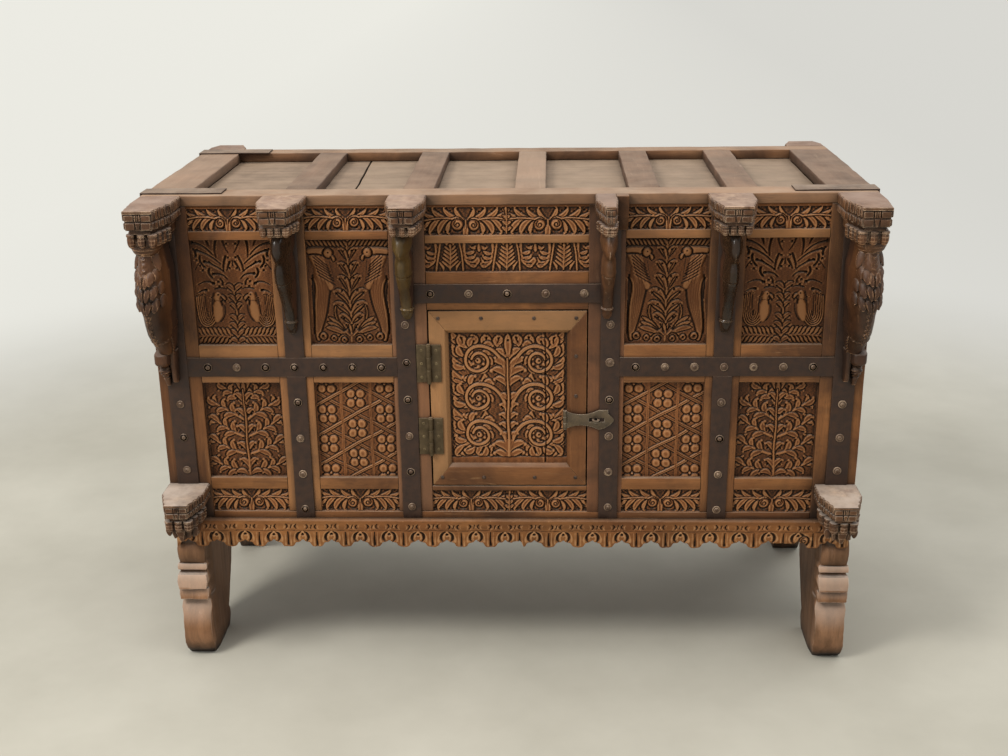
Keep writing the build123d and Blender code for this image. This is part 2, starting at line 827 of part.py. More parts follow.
def make_hasp_plate():
    """A waisted plate with a shouldered head and a slot, and the two outer knuckles it swings on."""
    bore = hasp_pin_radius + hinge_play
    with BuildPart() as plate:
        with BuildSketch(Plane.XZ.offset(-hasp_back)):
            with BuildLine():
                top = [
                    (hasp_pivot, hasp_centre + hasp_root_half),
                    (hasp_waist, hasp_centre + hasp_waist_half),
                    (hasp_head, hasp_centre + hasp_head_half),
                ]
                bottom = [(x, 2 * hasp_centre - z) for x, z in top]
                shoulder = (hasp_shoulder, hasp_centre + hasp_head_half)
                notch = (hasp_shoulder, hasp_centre + hasp_shoulder_half)
                tip_high = (hasp_tip - hasp_tip_round, hasp_centre + hasp_tip_half)
                tip_low = (hasp_tip - hasp_tip_round, hasp_centre - hasp_tip_half)
                ThreePointArc(*top)
                Polyline(top[-1], shoulder, notch, tip_high)
                ThreePointArc(tip_high, (hasp_tip, hasp_centre), tip_low)
                ThreePointArc(tip_low, (hasp_shoulder, hasp_centre - hasp_shoulder_half), bottom[-1])
                ThreePointArc(bottom[-1], bottom[1], bottom[0])
                Line(bottom[0], top[0])
            make_face()
            with Locations(((hasp_slot_start + hasp_slot_end) / 2, hasp_centre)):
                Rectangle(hasp_slot_end - hasp_slot_start, hasp_slot_height, mode=Mode.SUBTRACT)
        extrude(amount=hasp_thickness)
        middle = knuckle_spans(hasp_barrel_foot, hasp_barrel_height, 3, -knuckle_gap, 1)[0]
        clear_x = (hasp_pivot - hasp_barrel_radius, hasp_pivot + hasp_barrel_radius + knuckle_gap)
        clear_y = (front - staple_reach, front)
        beam(clear_x, clear_y, middle, mode=Mode.SUBTRACT)
        spans = knuckle_spans(hasp_barrel_foot, hasp_barrel_height, 3, knuckle_gap, 0)
        barrel(hasp_pivot, hasp_axis_y, hasp_barrel_radius, bore, spans)
        with BuildSketch(Plane.XY.offset(hasp_barrel_foot)) as hole:
            with Locations((hasp_pivot, hasp_axis_y)):
                Circle(bore)
        extrude(hole.sketch, amount=hasp_barrel_height, mode=Mode.SUBTRACT)
    return plate


def make_hasp_leaf():
    bore = hasp_pin_radius + hinge_play
    span = knuckle_spans(hasp_barrel_foot, hasp_barrel_height, 3, knuckle_gap, 1)
    z = (hasp_centre - hasp_leaf_height / 2, hasp_centre + hasp_leaf_height / 2)
    plate_start = hasp_pivot + hasp_barrel_radius + hinge_stand_off
    leaf_face = front - hasp_leaf_thickness
    with BuildPart() as leaf:
        beam((plate_start, hasp_pivot + hasp_leaf_length), (leaf_face, front), z)
        beam((hasp_pivot, plate_start), (leaf_face, front - hinge_stand_off), span[0])
        barrel(hasp_pivot, hasp_axis_y, hasp_barrel_radius, bore, span)
        with BuildSketch(Plane.XY.offset(span[0][0])) as hole:
            with Locations((hasp_pivot, hasp_axis_y)):
                Circle(bore)
        extrude(hole.sketch, amount=span[0][1] - span[0][0], mode=Mode.SUBTRACT)
    return leaf


def make_staple():
    """A bent square bar driven into the jamb, with its eye ahead of the hasp."""
    shoulder_y = front - staple_reach + staple_bar / 2 + staple_leg_offset
    root_y = front + staple_depth
    left, right = staple_legs
    with BuildPart() as staple:
        with BuildLine() as bar:
            Line((left, root_y, hasp_centre), (left, shoulder_y, hasp_centre))
            ThreePointArc(
                (left, shoulder_y, hasp_centre),
                (staple_centre, shoulder_y - staple_leg_offset, hasp_centre),
                (right, shoulder_y, hasp_centre),
            )
            Line((right, shoulder_y, hasp_centre), (right, root_y, hasp_centre))
        start = Plane((left, root_y, hasp_centre), x_dir=(1, 0, 0), z_dir=(0, -1, 0))
        with BuildSketch(start):
            Rectangle(staple_bar, staple_bar)
        sweep(path=bar.wires()[0])
    return staple


# ---- studs
def stud(x, z):
    """Adds one washer with its domed nail, flat on the strap's face."""
    with BuildSketch(Plane.XZ.offset(-strap_face)) as washer:
        with Locations((x, z)):
            RegularPolygon(washer_radius, washer_sides)
    extrude(washer.sketch, amount=washer_thickness)
    with BuildSketch(Plane.XZ.offset(-strap_face)) as dome:
        with Locations((x, z)):
            RegularPolygon(dome_radius, dome_sides)
    extrude(dome.sketch, amount=washer_thickness + dome_height, taper=dome_taper)


os.makedirs("parts", exist_ok=True)

# ---- posts, rails, muntins and jambs
front_y = (front, frame_back)
for side_name, side in SIDES.items():
    seats = front_seats + side_seats[side_name]
    save(make_post(side, (front, front + post_depth), seats), f"front_post_{side_name}")
    save(make_jamb(side), f"jamb_{side_name}")
with BuildPart() as muntins:
    for side in SIDES.values():
        add(make_muntin(side).part)
save(muntins, "muntins")

with BuildPart() as back_posts:
    for side_name, side in SIDES.items():
        beam(on_side((post_inner, half_width), side), (back - post_depth, back), (post_foot, frame_top))
        cut_grooves(side_seats[side_name] + back_seats)
save(back_posts, "back_posts")

with BuildPart() as bottom_rail:
    beam((-post_inner, post_inner), front_y, (rail_foot, bottom_rail_top))
    cut_grooves(lower_frieze_seats + centre_frieze_seats)
save(bottom_rail, "bottom_rail")

with BuildPart() as front_rails:
    for z in front_rail_spans:
        for side in SIDES.values():
            add(make_front_rail(side, z).part)
save(front_rails, "front_rails")

save(make_centre_member((lintel_foot, lintel_top)), "lintel")
with BuildPart() as centre_rails:
    add(make_centre_member((centre_frieze_top, sill_top)).part)
    add(make_centre_member((centre_rail_foot, centre_rail_top)).part)
save(centre_rails, "centre_rails")

# ---- carved panels and friezes
for node, seat in panel_seats.items():
    with BuildPart() as panel:
        beam(*seat)
    save(panel, node)

for node, seats in (
    ("upper_friezes", upper_frieze_seats),
    ("lower_friezes", lower_frieze_seats),
    ("centre_friezes", centre_frieze_seats),
):
    with BuildPart() as friezes:
        for seat in seats:
            beam(*seat)
    save(friezes, node)

save(make_apron(), "apron")

# ---- legs
for side_name, side in SIDES.items():
    save(make_front_leg(side), f"front_leg_{side_name}")
with BuildPart() as back_legs:
    for side in SIDES.values():
        add(make_back_leg(side).part)
save(back_legs, "back_legs")

# ---- brackets, corbels and capitals
for side_name, side in SIDES.items():
    save(make_corner_bracket(side), f"corner_bracket_{side_name}")
    slab = on_side(widen((muntin_centre, muntin_centre), muntin_slab_wall / 2), side)
    slab_nose = on_side(widen((muntin_centre, muntin_centre), muntin_slab_nose / 2), side)
    bracket = make_inner_bracket(slab, slab_nose, side * muntin_centre, bracket_width, muntin_bracket_foot)
    save(bracket, f"muntin_bracket_{side_name}")
left_slab = widen((-left_jamb_slab_centre, -left_jamb_slab_centre), left_jamb_slab_wall / 2)
left_nose = widen((-left_jamb_slab_centre, -left_jamb_slab_centre), left_jamb_slab_nose / 2)
left_body = -left_jamb_slab_centre - jamb_bracket_set
left_bracket = make_inner_bracket(left_slab, left_nose, left_body, bracket_width, jamb_bracket_foot)
save(left_bracket, "jamb_bracket_left")
patched_slab = (patched_slab_inner, patched_slab_inner + patched_slab_wall)
patched_body = patched_slab_inner + patched_body_shift
patched_nose_inner = patched_slab_inner + patched_nose_shift
patched_nose = (patched_nose_inner, patched_nose_inner + patched_slab_nose)
right_bracket = make_inner_bracket(
    patched_slab, patched_nose, patched_body, patched_bracket_width, jamb_bracket_foot, patched_trim
)
save(right_bracket, "jamb_bracket_right")
with BuildPart() as patch:
    patch_x = (patched_slab[1] + patch_gap, patched_slab[1] + patch_gap + patch_width)
    with BuildSketch(Plane.YZ.offset(patch_x[0])):
        with BuildLine():
            Polyline(
                (strap_face, body_height - patch_drop),
                (strap_face, body_height),
                (front - patch_reach, body_height),
                (front - patch_reach * patch_waist_reach, body_height - patch_drop * patch_waist),
                close=True,
            )
        make_face()
    extrude(amount=patch_width)
save(patch, "bracket_patch")

with BuildPart() as corbels:
    for side in SIDES.values():
        add(make_corbel(side).part)
save(corbels, "corner_corbels")
with BuildPart() as rear_capitals:
    for side in SIDES.values():
        add(make_rear_capital(side).part)
save(rear_capitals, "rear_capitals")

# ---- iron straps and studs
strap_y = (strap_face, front)
cross_z = widen((cross_strap_centre, cross_strap_centre), cross_strap_width / 2)
with BuildPart() as cross_straps:
    for side in SIDES.values():
        ends = (jamb_strap_centre + upright_strap_width / 2, post_strap_centre - post_strap_width / 2)
        beam(on_side(ends, side), strap_y, cross_z)
    centre_end = jamb_strap_centre - upright_strap_width / 2
    centre_z = widen((centre_strap_centre, centre_strap_centre), centre_strap_width / 2)
    beam((-centre_end, centre_end), strap_y, centre_z)
save(cross_straps, "cross_straps")

with BuildPart() as upright_straps:
    for side in SIDES.values():
        for centre, width, spans in (
            (post_strap_centre, post_strap_width, ((corbel_top, strap_top),)),
            (muntin_centre, upright_strap_width, ((apron_top, cross_z[0]), (cross_z[1], strap_top))),
            (jamb_strap_centre, upright_strap_width, ((apron_top, strap_top),)),
        ):
            for z in spans:
                beam(on_side(widen((centre, centre), width / 2), side), strap_y, z)
save(upright_straps, "upright_straps")

with BuildPart() as studs:
    for side in SIDES.values():
        for x in even(cross_stud_first, cross_stud_last, cross_stud_count):
            stud(side * x, cross_strap_centre)
        for z in even(jamb_stud_low, jamb_stud_high, jamb_stud_count):
            stud(side * jamb_strap_centre, z)
        for z in even(muntin_stud_low, muntin_stud_high, muntin_stud_count):
            stud(side * muntin_centre, z)
        for z in even(post_stud_low, post_stud_high, post_stud_count):
            stud(side * post_strap_centre, z)
    for x in even(-centre_stud_last, centre_stud_last, centre_stud_count):
        stud(x, centre_strap_centre)
save(studs, "studs")

# ---- top
with BuildPart() as top_front_rail:
    beam((-half_width, half_width), (front, front + top_front_rail_width), (frame_top, body_height))
save(top_front_rail, "top_front_rail")
with BuildPart() as top_back_rail:
    beam((-half_width, half_width), (back - top_back_rail_width, back), (frame_top, body_height))
save(top_back_rail, "top_back_rail")

top_inner_y = (front + top_front_rail_width, back - top_back_rail_width)
with BuildPart() as top_end_rails:
    for side in SIDES.values():
        beam(on_side((post_inner, half_width), side), top_inner_y, (frame_top, body_height))
save(top_end_rails, "top_end_rails")
with BuildPart() as top_slats:
    for centre in slat_centres:
        beam(widen((centre, centre), slat_width / 2), top_inner_y, (frame_top, body_height))
save(top_slats, "top_slats")
with BuildPart() as top_boards:
    edges = [-post_inner, *slat_centres, post_inner]
    for low, high in zip(edges, edges[1:]):
        beam((low, high), (frame_back, rear_frame_front), (frame_top - top_board_thickness, frame_top))
save(top_boards, "top_boards")

corner_strap_y = (front + corner_strap_set, front + corner_strap_set + corner_strap_width)
with BuildPart() as corner_straps:
    for side, flip in ((-1, False), (1, False), (-1, True)):
        y = corner_strap_y
        if flip:
            y = (back - corner_strap_y[1] + front, back - corner_strap_y[0] + front)
        end = half_width + strap_thickness
        inner = half_width - corner_strap_reach
        beam(on_side((inner, end), side), y, (body_height, body_height + strap_thickness))
        beam(on_side((half_width, end), side), y, (body_height - corner_strap_drop, body_height))
save(corner_straps, "corner_straps")

# ---- sides, back and floor
for side_name, side in SIDES.items():
    with BuildPart() as side_frame:
        skin = side_skin(side, 0, frame_thickness)
        for z in side_rail_spans:
            beam(skin, side_post_inner, z)
        for z in side_tiers:
            beam(skin, (side_bays[0][1], side_bays[1][0]), z)
        cut_grooves(side_seats[side_name])
    save(side_frame, f"side_frame_{side_name}")
with BuildPart() as side_panels:
    for seats in side_seats.values():
        for seat in seats:
            beam(*seat)
save(side_panels, "side_panels")

with BuildPart() as back_rails:
    for z in side_rail_spans:
        beam((-post_inner, post_inner), (rear_frame_front, back), z)
    cut_grooves(back_seats)
save(back_rails, "back_rails")
with BuildPart() as back_boards:
    for seat in back_seats:
        beam(*seat)
save(back_boards, "back_boards")

floor_z = (bottom_rail_top - floor_board_thickness, bottom_rail_top)
bearer_z = (floor_z[0] - floor_bearer_height, floor_z[0])
with BuildPart() as floor_bearers:
    beam((-post_inner, post_inner), (frame_back, frame_back + floor_bearer_width), bearer_z)
    beam((-post_inner, post_inner), (rear_frame_front - floor_bearer_width, rear_frame_front), bearer_z)
save(floor_bearers, "floor_bearers")
with BuildPart() as floor_boards:
    edges = even(-post_inner, post_inner, floor_board_count + 1)
    for low, high in zip(edges, edges[1:]):
        beam((low, high), (frame_back, rear_frame_front), floor_z)
    for side in SIDES.values():
        beam(on_side((post_inner, half_width - frame_thickness), side), side_post_inner, floor_z)
save(floor_boards, "floor_boards")

# ---- door
for node, first in (("door_rails", 0), ("door_stiles", 1)):
    with BuildPart() as members:
        for step in (first, first + 2):
            after = (step + 1) % 4
            corners = [door_corners[step], door_corners[after], light_corners[after], light_corners[step]]
            add(make_door_member(corners).part)
    save(members, node)
with BuildPart() as door_panel:
    beam(*door_panel_span)
save(door_panel, "door_panel")

save(make_hinge_leaves(-1, 0), "hinge_leaves_fixed")
save(make_hinge_leaves(1, 1), "hinge_leaves_door")
save(make_hinge_pins(), "hinge_pins")
save(make_hasp_plate(), "hasp_plate")
save(make_hasp_leaf(), "hasp_leaf")
with BuildPart() as hasp_pin:
    with BuildSketch(Plane.XY.offset(hasp_barrel_foot)):
        with Locations((hasp_pivot, hasp_axis_y)):
            Circle(hasp_pin_radius)
    extrude(amount=hasp_barrel_height)
save(hasp_pin, "hasp_pin")
save(make_staple(), "staple")
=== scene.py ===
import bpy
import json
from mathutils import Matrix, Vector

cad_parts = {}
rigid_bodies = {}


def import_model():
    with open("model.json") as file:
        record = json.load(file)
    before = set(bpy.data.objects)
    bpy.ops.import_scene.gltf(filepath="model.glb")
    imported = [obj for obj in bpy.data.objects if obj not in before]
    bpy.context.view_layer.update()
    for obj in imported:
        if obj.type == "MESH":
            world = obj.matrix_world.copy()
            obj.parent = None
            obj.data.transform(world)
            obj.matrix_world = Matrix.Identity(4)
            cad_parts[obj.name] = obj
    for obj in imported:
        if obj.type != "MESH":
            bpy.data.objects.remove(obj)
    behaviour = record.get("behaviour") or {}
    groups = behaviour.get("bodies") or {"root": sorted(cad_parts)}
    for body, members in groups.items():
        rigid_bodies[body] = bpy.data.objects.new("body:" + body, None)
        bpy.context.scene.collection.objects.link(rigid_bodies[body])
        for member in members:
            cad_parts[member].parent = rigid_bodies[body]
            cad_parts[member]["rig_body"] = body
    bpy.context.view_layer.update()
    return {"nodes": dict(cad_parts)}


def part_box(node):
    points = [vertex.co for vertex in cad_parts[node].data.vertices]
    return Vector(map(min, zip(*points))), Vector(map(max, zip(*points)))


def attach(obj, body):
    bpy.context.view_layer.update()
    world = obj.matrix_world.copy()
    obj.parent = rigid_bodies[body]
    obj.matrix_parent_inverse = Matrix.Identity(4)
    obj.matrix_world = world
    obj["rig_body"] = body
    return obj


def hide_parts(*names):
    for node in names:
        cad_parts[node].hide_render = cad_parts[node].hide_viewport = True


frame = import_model()

import copy
import json
import math

import bmesh
import bpy
import numpy as np
from mathutils import Matrix, Vector, noise

noise.seed_set(7)  # so that the wear comes out the same each time
mm = 0.001
SIDES = {"left": -1, "right": 1}
ALONG_X = (0.06, 1.0, 1.0)
ALONG_Y = (1.0, 0.06, 1.0)
ALONG_Z = (1.0, 1.0, 0.06)


# ---------------------------------------------------------------- camera, floor and light
EYE = Vector((0.0793, -2.5394, 1.4281))
EYE_YAW = -0.0375
EYE_PITCH = 0.3404
EYE_ROLL = -0.0133
LENS = 46.43


def set_camera():
    forward = Vector((
        math.sin(EYE_YAW) * math.cos(EYE_PITCH),
        math.cos(EYE_YAW) * math.cos(EYE_PITCH),
        -math.sin(EYE_PITCH),
    ))
    level = Vector((math.cos(EYE_YAW), -math.sin(EYE_YAW), 0.0))
    upward = level.cross(forward)
    right = math.cos(EYE_ROLL) * level + math.sin(EYE_ROLL) * upward
    up = -math.sin(EYE_ROLL) * level + math.cos(EYE_ROLL) * upward
    camera = bpy.data.objects.new("camera", bpy.data.cameras.new("camera"))
    camera.data.lens = LENS
    camera.data.sensor_width = 36.0
    camera.matrix_world = Matrix.Translation(EYE) @ Matrix((right, up, -forward)).transposed().to_4x4()
    bpy.context.scene.collection.objects.link(camera)
    bpy.context.scene.camera = camera


def lamp(name, place, target, size, power, tint):
    light = bpy.data.lights.new(name, "AREA")
    light.shape = "DISK"
    light.size = size
    light.energy = power
    light.color = tint
    holder = bpy.data.objects.new(name, light)
    holder.location = place
    holder.rotation_mode = "QUATERNION"
    holder.rotation_quaternion = (Vector(target) - Vector(place)).to_track_quat("-Z", "Y")
    bpy.context.scene.collection.objects.link(holder)


def set_lights():
    lamp("window_light", (-2.2, -1.9, 3.3), (0.0, 0.0, 0.6), 1.2, 84.0, (1.0, 0.985, 0.95))
    lamp("ceiling_light", (0.3, -0.6, 3.8), (0.0, 0.0, 0.6), 3.0, 62.0, (1.0, 0.985, 0.96))
    lamp("far_light", (2.6, 1.6, 2.6), (0.0, 0.0, 0.7), 2.0, 18.0, (0.97, 0.985, 1.0))
    bpy.context.scene.view_settings.view_transform = "Standard"


def srgb(red, green, blue):
    """A colour read off a paint card, 0 to 255 a channel, as the shader's linear colour."""
    def linear(level):
        level /= 255.0
        return level / 12.92 if level <= 0.04045 else ((level + 0.055) / 1.055) ** 2.4
    return (linear(red), linear(green), linear(blue), 1.0)


# ---------------------------------------------------------------- wiring of node trees
class Wiring:
    """A node tree being wired up: every call adds one node and gives back the socket that leaves it."""

    def __init__(self, tree):
        self.tree = tree

    def node(self, kind, feeds=None, **settings):
        made = self.tree.nodes.new(kind)
        for key, value in settings.items():
            setattr(made, key, value)
        for key, value in (feeds or {}).items():
            self.feed(made.inputs[key], value)
        return made

    def feed(self, socket, value):
        if isinstance(value, bpy.types.NodeSocket):
            self.tree.links.new(value, socket)
        else:
            socket.default_value = value

    def sum(self, operation, first, second=0.0, third=0.0):
        made = self.tree.nodes.new("ShaderNodeMath")
        made.operation = operation
        for socket, value in zip(made.inputs, (first, second, third)):
            self.feed(socket, value)
        return made.outputs[0]

    def blend(self, share, first, second, mode="MIX"):
        made = self.tree.nodes.new("ShaderNodeMix")
        made.data_type = "RGBA"
        made.blend_type = mode
        for index, value in ((0, share), (6, first), (7, second)):
            self.feed(made.inputs[index], value)
        return made.outputs[2]

    def span(self, value, low, high, to_low=0.0, to_high=1.0, smooth=False):
        made = self.node(
            "ShaderNodeMapRange", {0: value, 1: low, 2: high, 3: to_low, 4: to_high}, clamp=True
        )
        if smooth:
            made.interpolation_type = "SMOOTHSTEP"
        return made.outputs[0]

    def cloud(self, place, scale, detail=3.0, rough=0.55, distortion=0.0):
        made = self.node(
            "ShaderNodeTexNoise",
            {"Vector": place, "Scale": scale, "Detail": detail, "Roughness": rough, "Distortion": distortion},
        )
        return made.outputs[0]

    def stretched(self, place, stretch):
        made = self.node("ShaderNodeVectorMath", {0: place, 1: stretch}, operation="MULTIPLY")
        return made.outputs[0]

    def place(self):
        return self.node("ShaderNodeTexCoord").outputs["Object"]


def make_group(name, inputs, outputs, wire):
    """A shader node group with named inputs and outputs; wire(wiring, inputs) returns a dict of outputs."""
    tree = bpy.data.node_groups.new(name, "ShaderNodeTree")
    for label, kind, default in inputs:
        socket = tree.interface.new_socket(name=label, in_out="INPUT", socket_type=kind)
        socket.default_value = default
    for label, kind in outputs:
        tree.interface.new_socket(name=label, in_out="OUTPUT", socket_type=kind)
    wiring = Wiring(tree)
    entry = tree.nodes.new("NodeGroupInput")
    leave = tree.nodes.new("NodeGroupOutput")
    for label, socket in wire(wiring, entry.outputs).items():
        tree.links.new(socket, leave.inputs[label])
    return tree


FLOAT = "NodeSocketFloat"
COLOUR = "NodeSocketColor"
VECTOR = "NodeSocketVector"


def wire_grain(w, given):
    """Sawn wood: slow blotches, long streaks along the grain and short dark pores."""
    lengthwise = w.stretched(given["Place"], given["Stretch"])
    blotch = w.span(w.cloud(given["Place"], 7.0, 3.0), 0.32, 0.68)
    streak = w.span(w.cloud(lengthwise, 58.0, 5.0, 0.62, 0.4), 0.30, 0.72)
    fine = w.cloud(lengthwise, 320.0, 3.0, 0.6)
    pore = w.span(w.cloud(lengthwise, 900.0, 1.0, 0.5), 0.60, 0.72)
    body = w.blend(blotch, given["Light"], given["Middle"])
    body = w.blend(w.sum("MULTIPLY", streak, given["Figure"]), body, given["Dark"])
    body = w.blend(w.sum("MULTIPLY", pore, 0.35), body, given["Dark"])
    relief = w.sum("ADD", w.sum("MULTIPLY", streak, 0.6), w.sum("MULTIPLY", fine, 0.4))
    return {"Color": body, "Relief": w.sum("SUBTRACT", relief, w.sum("MULTIPLY", pore, 0.5))}


def wire_wear_and_highlight(w, given):
    """Where hands and knocks have rubbed an edge, together with a painted highlight along it: 1 on sharp outward
    edges, broken up by patches.
    """
    rounded = w.node("ShaderNodeBevel", {"Radius": given["Radius"]}, samples=4).outputs[0]
    true = w.node("ShaderNodeNewGeometry").outputs["Normal"]
    facing = w.node("ShaderNodeVectorMath", {0: rounded, 1: true}, operation="DOT_PRODUCT").outputs["Value"]
    edge = w.span(facing, 0.995, 0.85)
    patch = w.span(w.cloud(given["Place"], 46.0, 4.0, 0.65), 0.38, 0.62)
    return {"WornAndHighlitEdge": w.sum("MULTIPLY", w.sum("MULTIPLY", edge, patch), given["Amount"])}


def wire_grime_and_shade(w, given):
    """Grime and painted shade that gather in corners and hollows, as dark as the ambient occlusion finds them closed
    in.
    """
    open_sky = w.node("ShaderNodeAmbientOcclusion", {"Distance": given["Reach"]}, samples=5).outputs["AO"]
    closed = w.span(open_sky, 0.94, 0.36)
    patch = w.span(w.cloud(given["Place"], 24.0, 3.0), 0.20, 0.60, 0.55, 1.0)
    return {"DirtAndShade": w.sum("MULTIPLY", w.sum("MULTIPLY", closed, patch), given["Amount"])}


def wire_dust_and_top_light(w, given):
    """Pale dust, with a painted top light, on whatever faces up."""
    normal = w.node("ShaderNodeNewGeometry").outputs["Normal"]
    upward = w.node("ShaderNodeSeparateXYZ", {0: normal}).outputs[2]
    flat = w.span(upward, 0.45, 0.95, smooth=True)
    patch = w.span(w.cloud(given["Place"], 17.0, 5.0, 0.65), 0.30, 0.66, 0.35, 1.0)
    return {"Dust": w.sum("MULTIPLY", w.sum("MULTIPLY", flat, patch), given["Amount"])}


def wire_stain(w, given):
    """Years of handling: dark smoky patches and streaks, and a few scuffs where the wood shows pale."""
    lengthwise = w.stretched(given["Place"], given["Stretch"])
    slow = w.span(w.cloud(given["Place"], 5.5, 5.0, 0.62, 0.6), 0.46, 0.66)
    streak = w.span(w.cloud(lengthwise, 34.0, 4.0, 0.6), 0.50, 0.68)
    dark = w.sum("MAXIMUM", w.sum("MULTIPLY", slow, 0.74), w.sum("MULTIPLY", streak, 0.62))
    scuff = w.span(w.cloud(lengthwise, 90.0, 5.0, 0.7, 1.2), 0.62, 0.70)
    stained = w.blend(dark, given["Color"], given["Dark"])
    return {"Color": w.blend(w.sum("MULTIPLY", scuff, 0.30), stained, given["Pale"])}


WHITE = (1, 1, 1, 1)
BLACK = (0, 0, 0, 1)
PLACE = ("Place", VECTOR, (0, 0, 0))
STRETCH = ("Stretch", VECTOR, (1, 1, 1))
AMOUNT = ("Amount", FLOAT, 1.0)
STAIN = make_group(
    "smoke_stains",
    [PLACE, STRETCH, ("Color", COLOUR, WHITE), ("Dark", COLOUR, BLACK), ("Pale", COLOUR, WHITE)],
    [("Color", COLOUR)],
    wire_stain,
)
GRAIN = make_group(
    "sawn_grain",
    [
        PLACE, STRETCH, ("Light", COLOUR, WHITE), ("Middle", COLOUR, WHITE), ("Dark", COLOUR, BLACK),
        ("Figure", FLOAT, 0.5),
    ],
    [("Color", COLOUR), ("Relief", FLOAT)],
    wire_grain,
)
WEAR_AND_HIGHLIGHT = make_group("rubbed_and_highlit_edges", [PLACE, ("Radius", FLOAT, 0.002), AMOUNT], [("WornAndHighlitEdge", FLOAT)], wire_wear_and_highlight)
GRIME_AND_SHADE = make_group("grime_and_painted_shade", [PLACE, ("Reach", FLOAT, 0.02), AMOUNT], [("DirtAndShade", FLOAT)], wire_grime_and_shade)
DUST_AND_TOP_LIGHT = make_group("dust_and_painted_top_light", [PLACE, AMOUNT], [("Dust", FLOAT)], wire_dust_and_top_light)


def grouped(w, tree, feeds):
    made = w.tree.nodes.new("ShaderNodeGroup")
    made.node_tree = tree
    for key, value in feeds.items():
        w.feed(made.inputs[key], value)
    return made.outputs


def blank_material(name):
    material = bpy.data.materials.new(name)
    material.use_nodes = True
    tree = material.node_tree
    return material, Wiring(tree), tree.nodes["Principled BSDF"]


def bumped(w, shader, height, strength, distance):
    bump = w.node("ShaderNodeBump", {"Height": height, "Strength": strength, "Distance": distance})
    w.feed(shader.inputs["Normal"], bump.outputs[0])


# ---------------------------------------------------------------- woods
# colours painted into old wood: the first darkens hollows and deep cuts as dirt and painted shade, the second is a
# carving's sunk ground, dark with dirt and painted shade, and the three dust colours paint dust together with the top
# light on upward faces
DIRT_AND_SHADE = srgb(36, 22, 12)
DIRTY_SHADED_GROUND = srgb(58, 36, 19)
TOP_DUST_AND_LIGHT_COLOUR = srgb(168, 144, 122)
PINK_DUST_AND_LIGHT = srgb(158, 134, 118)
PALE_DUST_AND_LIGHT = srgb(190, 172, 156)


def old_wood(name, stretch, palette, figure=0.45, dust=0.5, grime=0.8, wear_and_highlight=0.7, rough=0.58, reach=0.03,
             dust_and_top_light_colour=TOP_DUST_AND_LIGHT_COLOUR, carved=False, smoke=1.0, toned=0.30):
    """Old oiled teak, with dirt and painted shade in its hollows, wear and a painted highlight on its edges, and dust
    with a painted top light on what faces up. A carved piece also darkens down into its cuts, by its own attribute, as
    dirt and painted shade.
    """
    light, middle, dark, worn = [srgb(*tint) for tint in palette]
    material, w, shader = blank_material(name)
    place = w.place()
    grain = grouped(w, GRAIN, {
        "Place": place, "Stretch": stretch, "Light": light, "Middle": middle, "Dark": dark, "Figure": figure,
    })
    edge = grouped(w, WEAR_AND_HIGHLIGHT, {"Place": place, "Radius": 2.2 * mm, "Amount": wear_and_highlight})["WornAndHighlitEdge"]
    dirt_and_shade = grouped(w, GRIME_AND_SHADE, {"Place": place, "Reach": reach, "Amount": grime})["DirtAndShade"]
    lying_dust_and_light = grouped(w, DUST_AND_TOP_LIGHT, {"Place": place, "Amount": dust})["Dust"]
    stains = grouped(w, STAIN, {
        "Place": place, "Stretch": stretch, "Dark": dark, "Pale": worn, "Color": grain["Color"],
    })
    colour = w.blend(smoke, grain["Color"], stains["Color"])
    if carved:
        # the carved attribute darkens the cuts and sunk ground as dirt and painted shade, and pales the highest tops
        # as wear and a painted highlight
        cut = w.node("ShaderNodeAttribute", attribute_name="carved").outputs["Fac"]
        colour = w.blend(w.span(cut, 0.30, 0.62), DIRTY_SHADED_GROUND, colour)
        colour = w.blend(w.span(cut, 0.05, 0.30), DIRT_AND_SHADE, colour)
        colour = w.blend(w.span(cut, 0.80, 1.0, 0.0, 0.55), colour, worn)
    # rubbed edges go pale, with a painted highlight
    colour = w.blend(edge, colour, worn)
    # the tone attribute: a random tone for each board, from darker to lighter, and on the legs also dust, oil and
    # painted shade
    tone = w.node("ShaderNodeAttribute", attribute_name="tone").outputs["Fac"]
    colour = w.blend(w.span(tone, -1.0, 0.0, toned, 0.0), colour, dark)
    colour = w.blend(w.span(tone, 0.0, 1.0, 0.0, toned), colour, worn)
    # dirt and painted shade darken the hollows
    colour = w.blend(dirt_and_shade, colour, DIRT_AND_SHADE)
    # dust and a painted top light on upward faces
    colour = w.blend(lying_dust_and_light, colour, dust_and_top_light_colour)
    w.feed(shader.inputs["Base Color"], colour)
    sheen = w.sum("SUBTRACT", w.span(grain["Relief"], 0.2, 0.9, rough - 0.06, rough + 0.10),
                  w.sum("MULTIPLY", edge, 0.12))
    w.feed(shader.inputs["Roughness"], w.sum("ADD", sheen, w.sum("MULTIPLY", lying_dust_and_light, 0.25)))
    shader.inputs["Specular IOR Level"].default_value = 0.24 if carved else 0.34
    bumped(w, shader, grain["Relief"], 0.35, 0.6 * mm)
    return material


# each palette: light, middle and dark wood, and where it is worn, a colour that also paints the highlights
TEAK = ((168, 112, 62), (140, 86, 44), (60, 34, 17), (206, 156, 108))
DOOR_TEAK = ((156, 102, 57), (127, 78, 40), (72, 42, 20), (214, 166, 114))
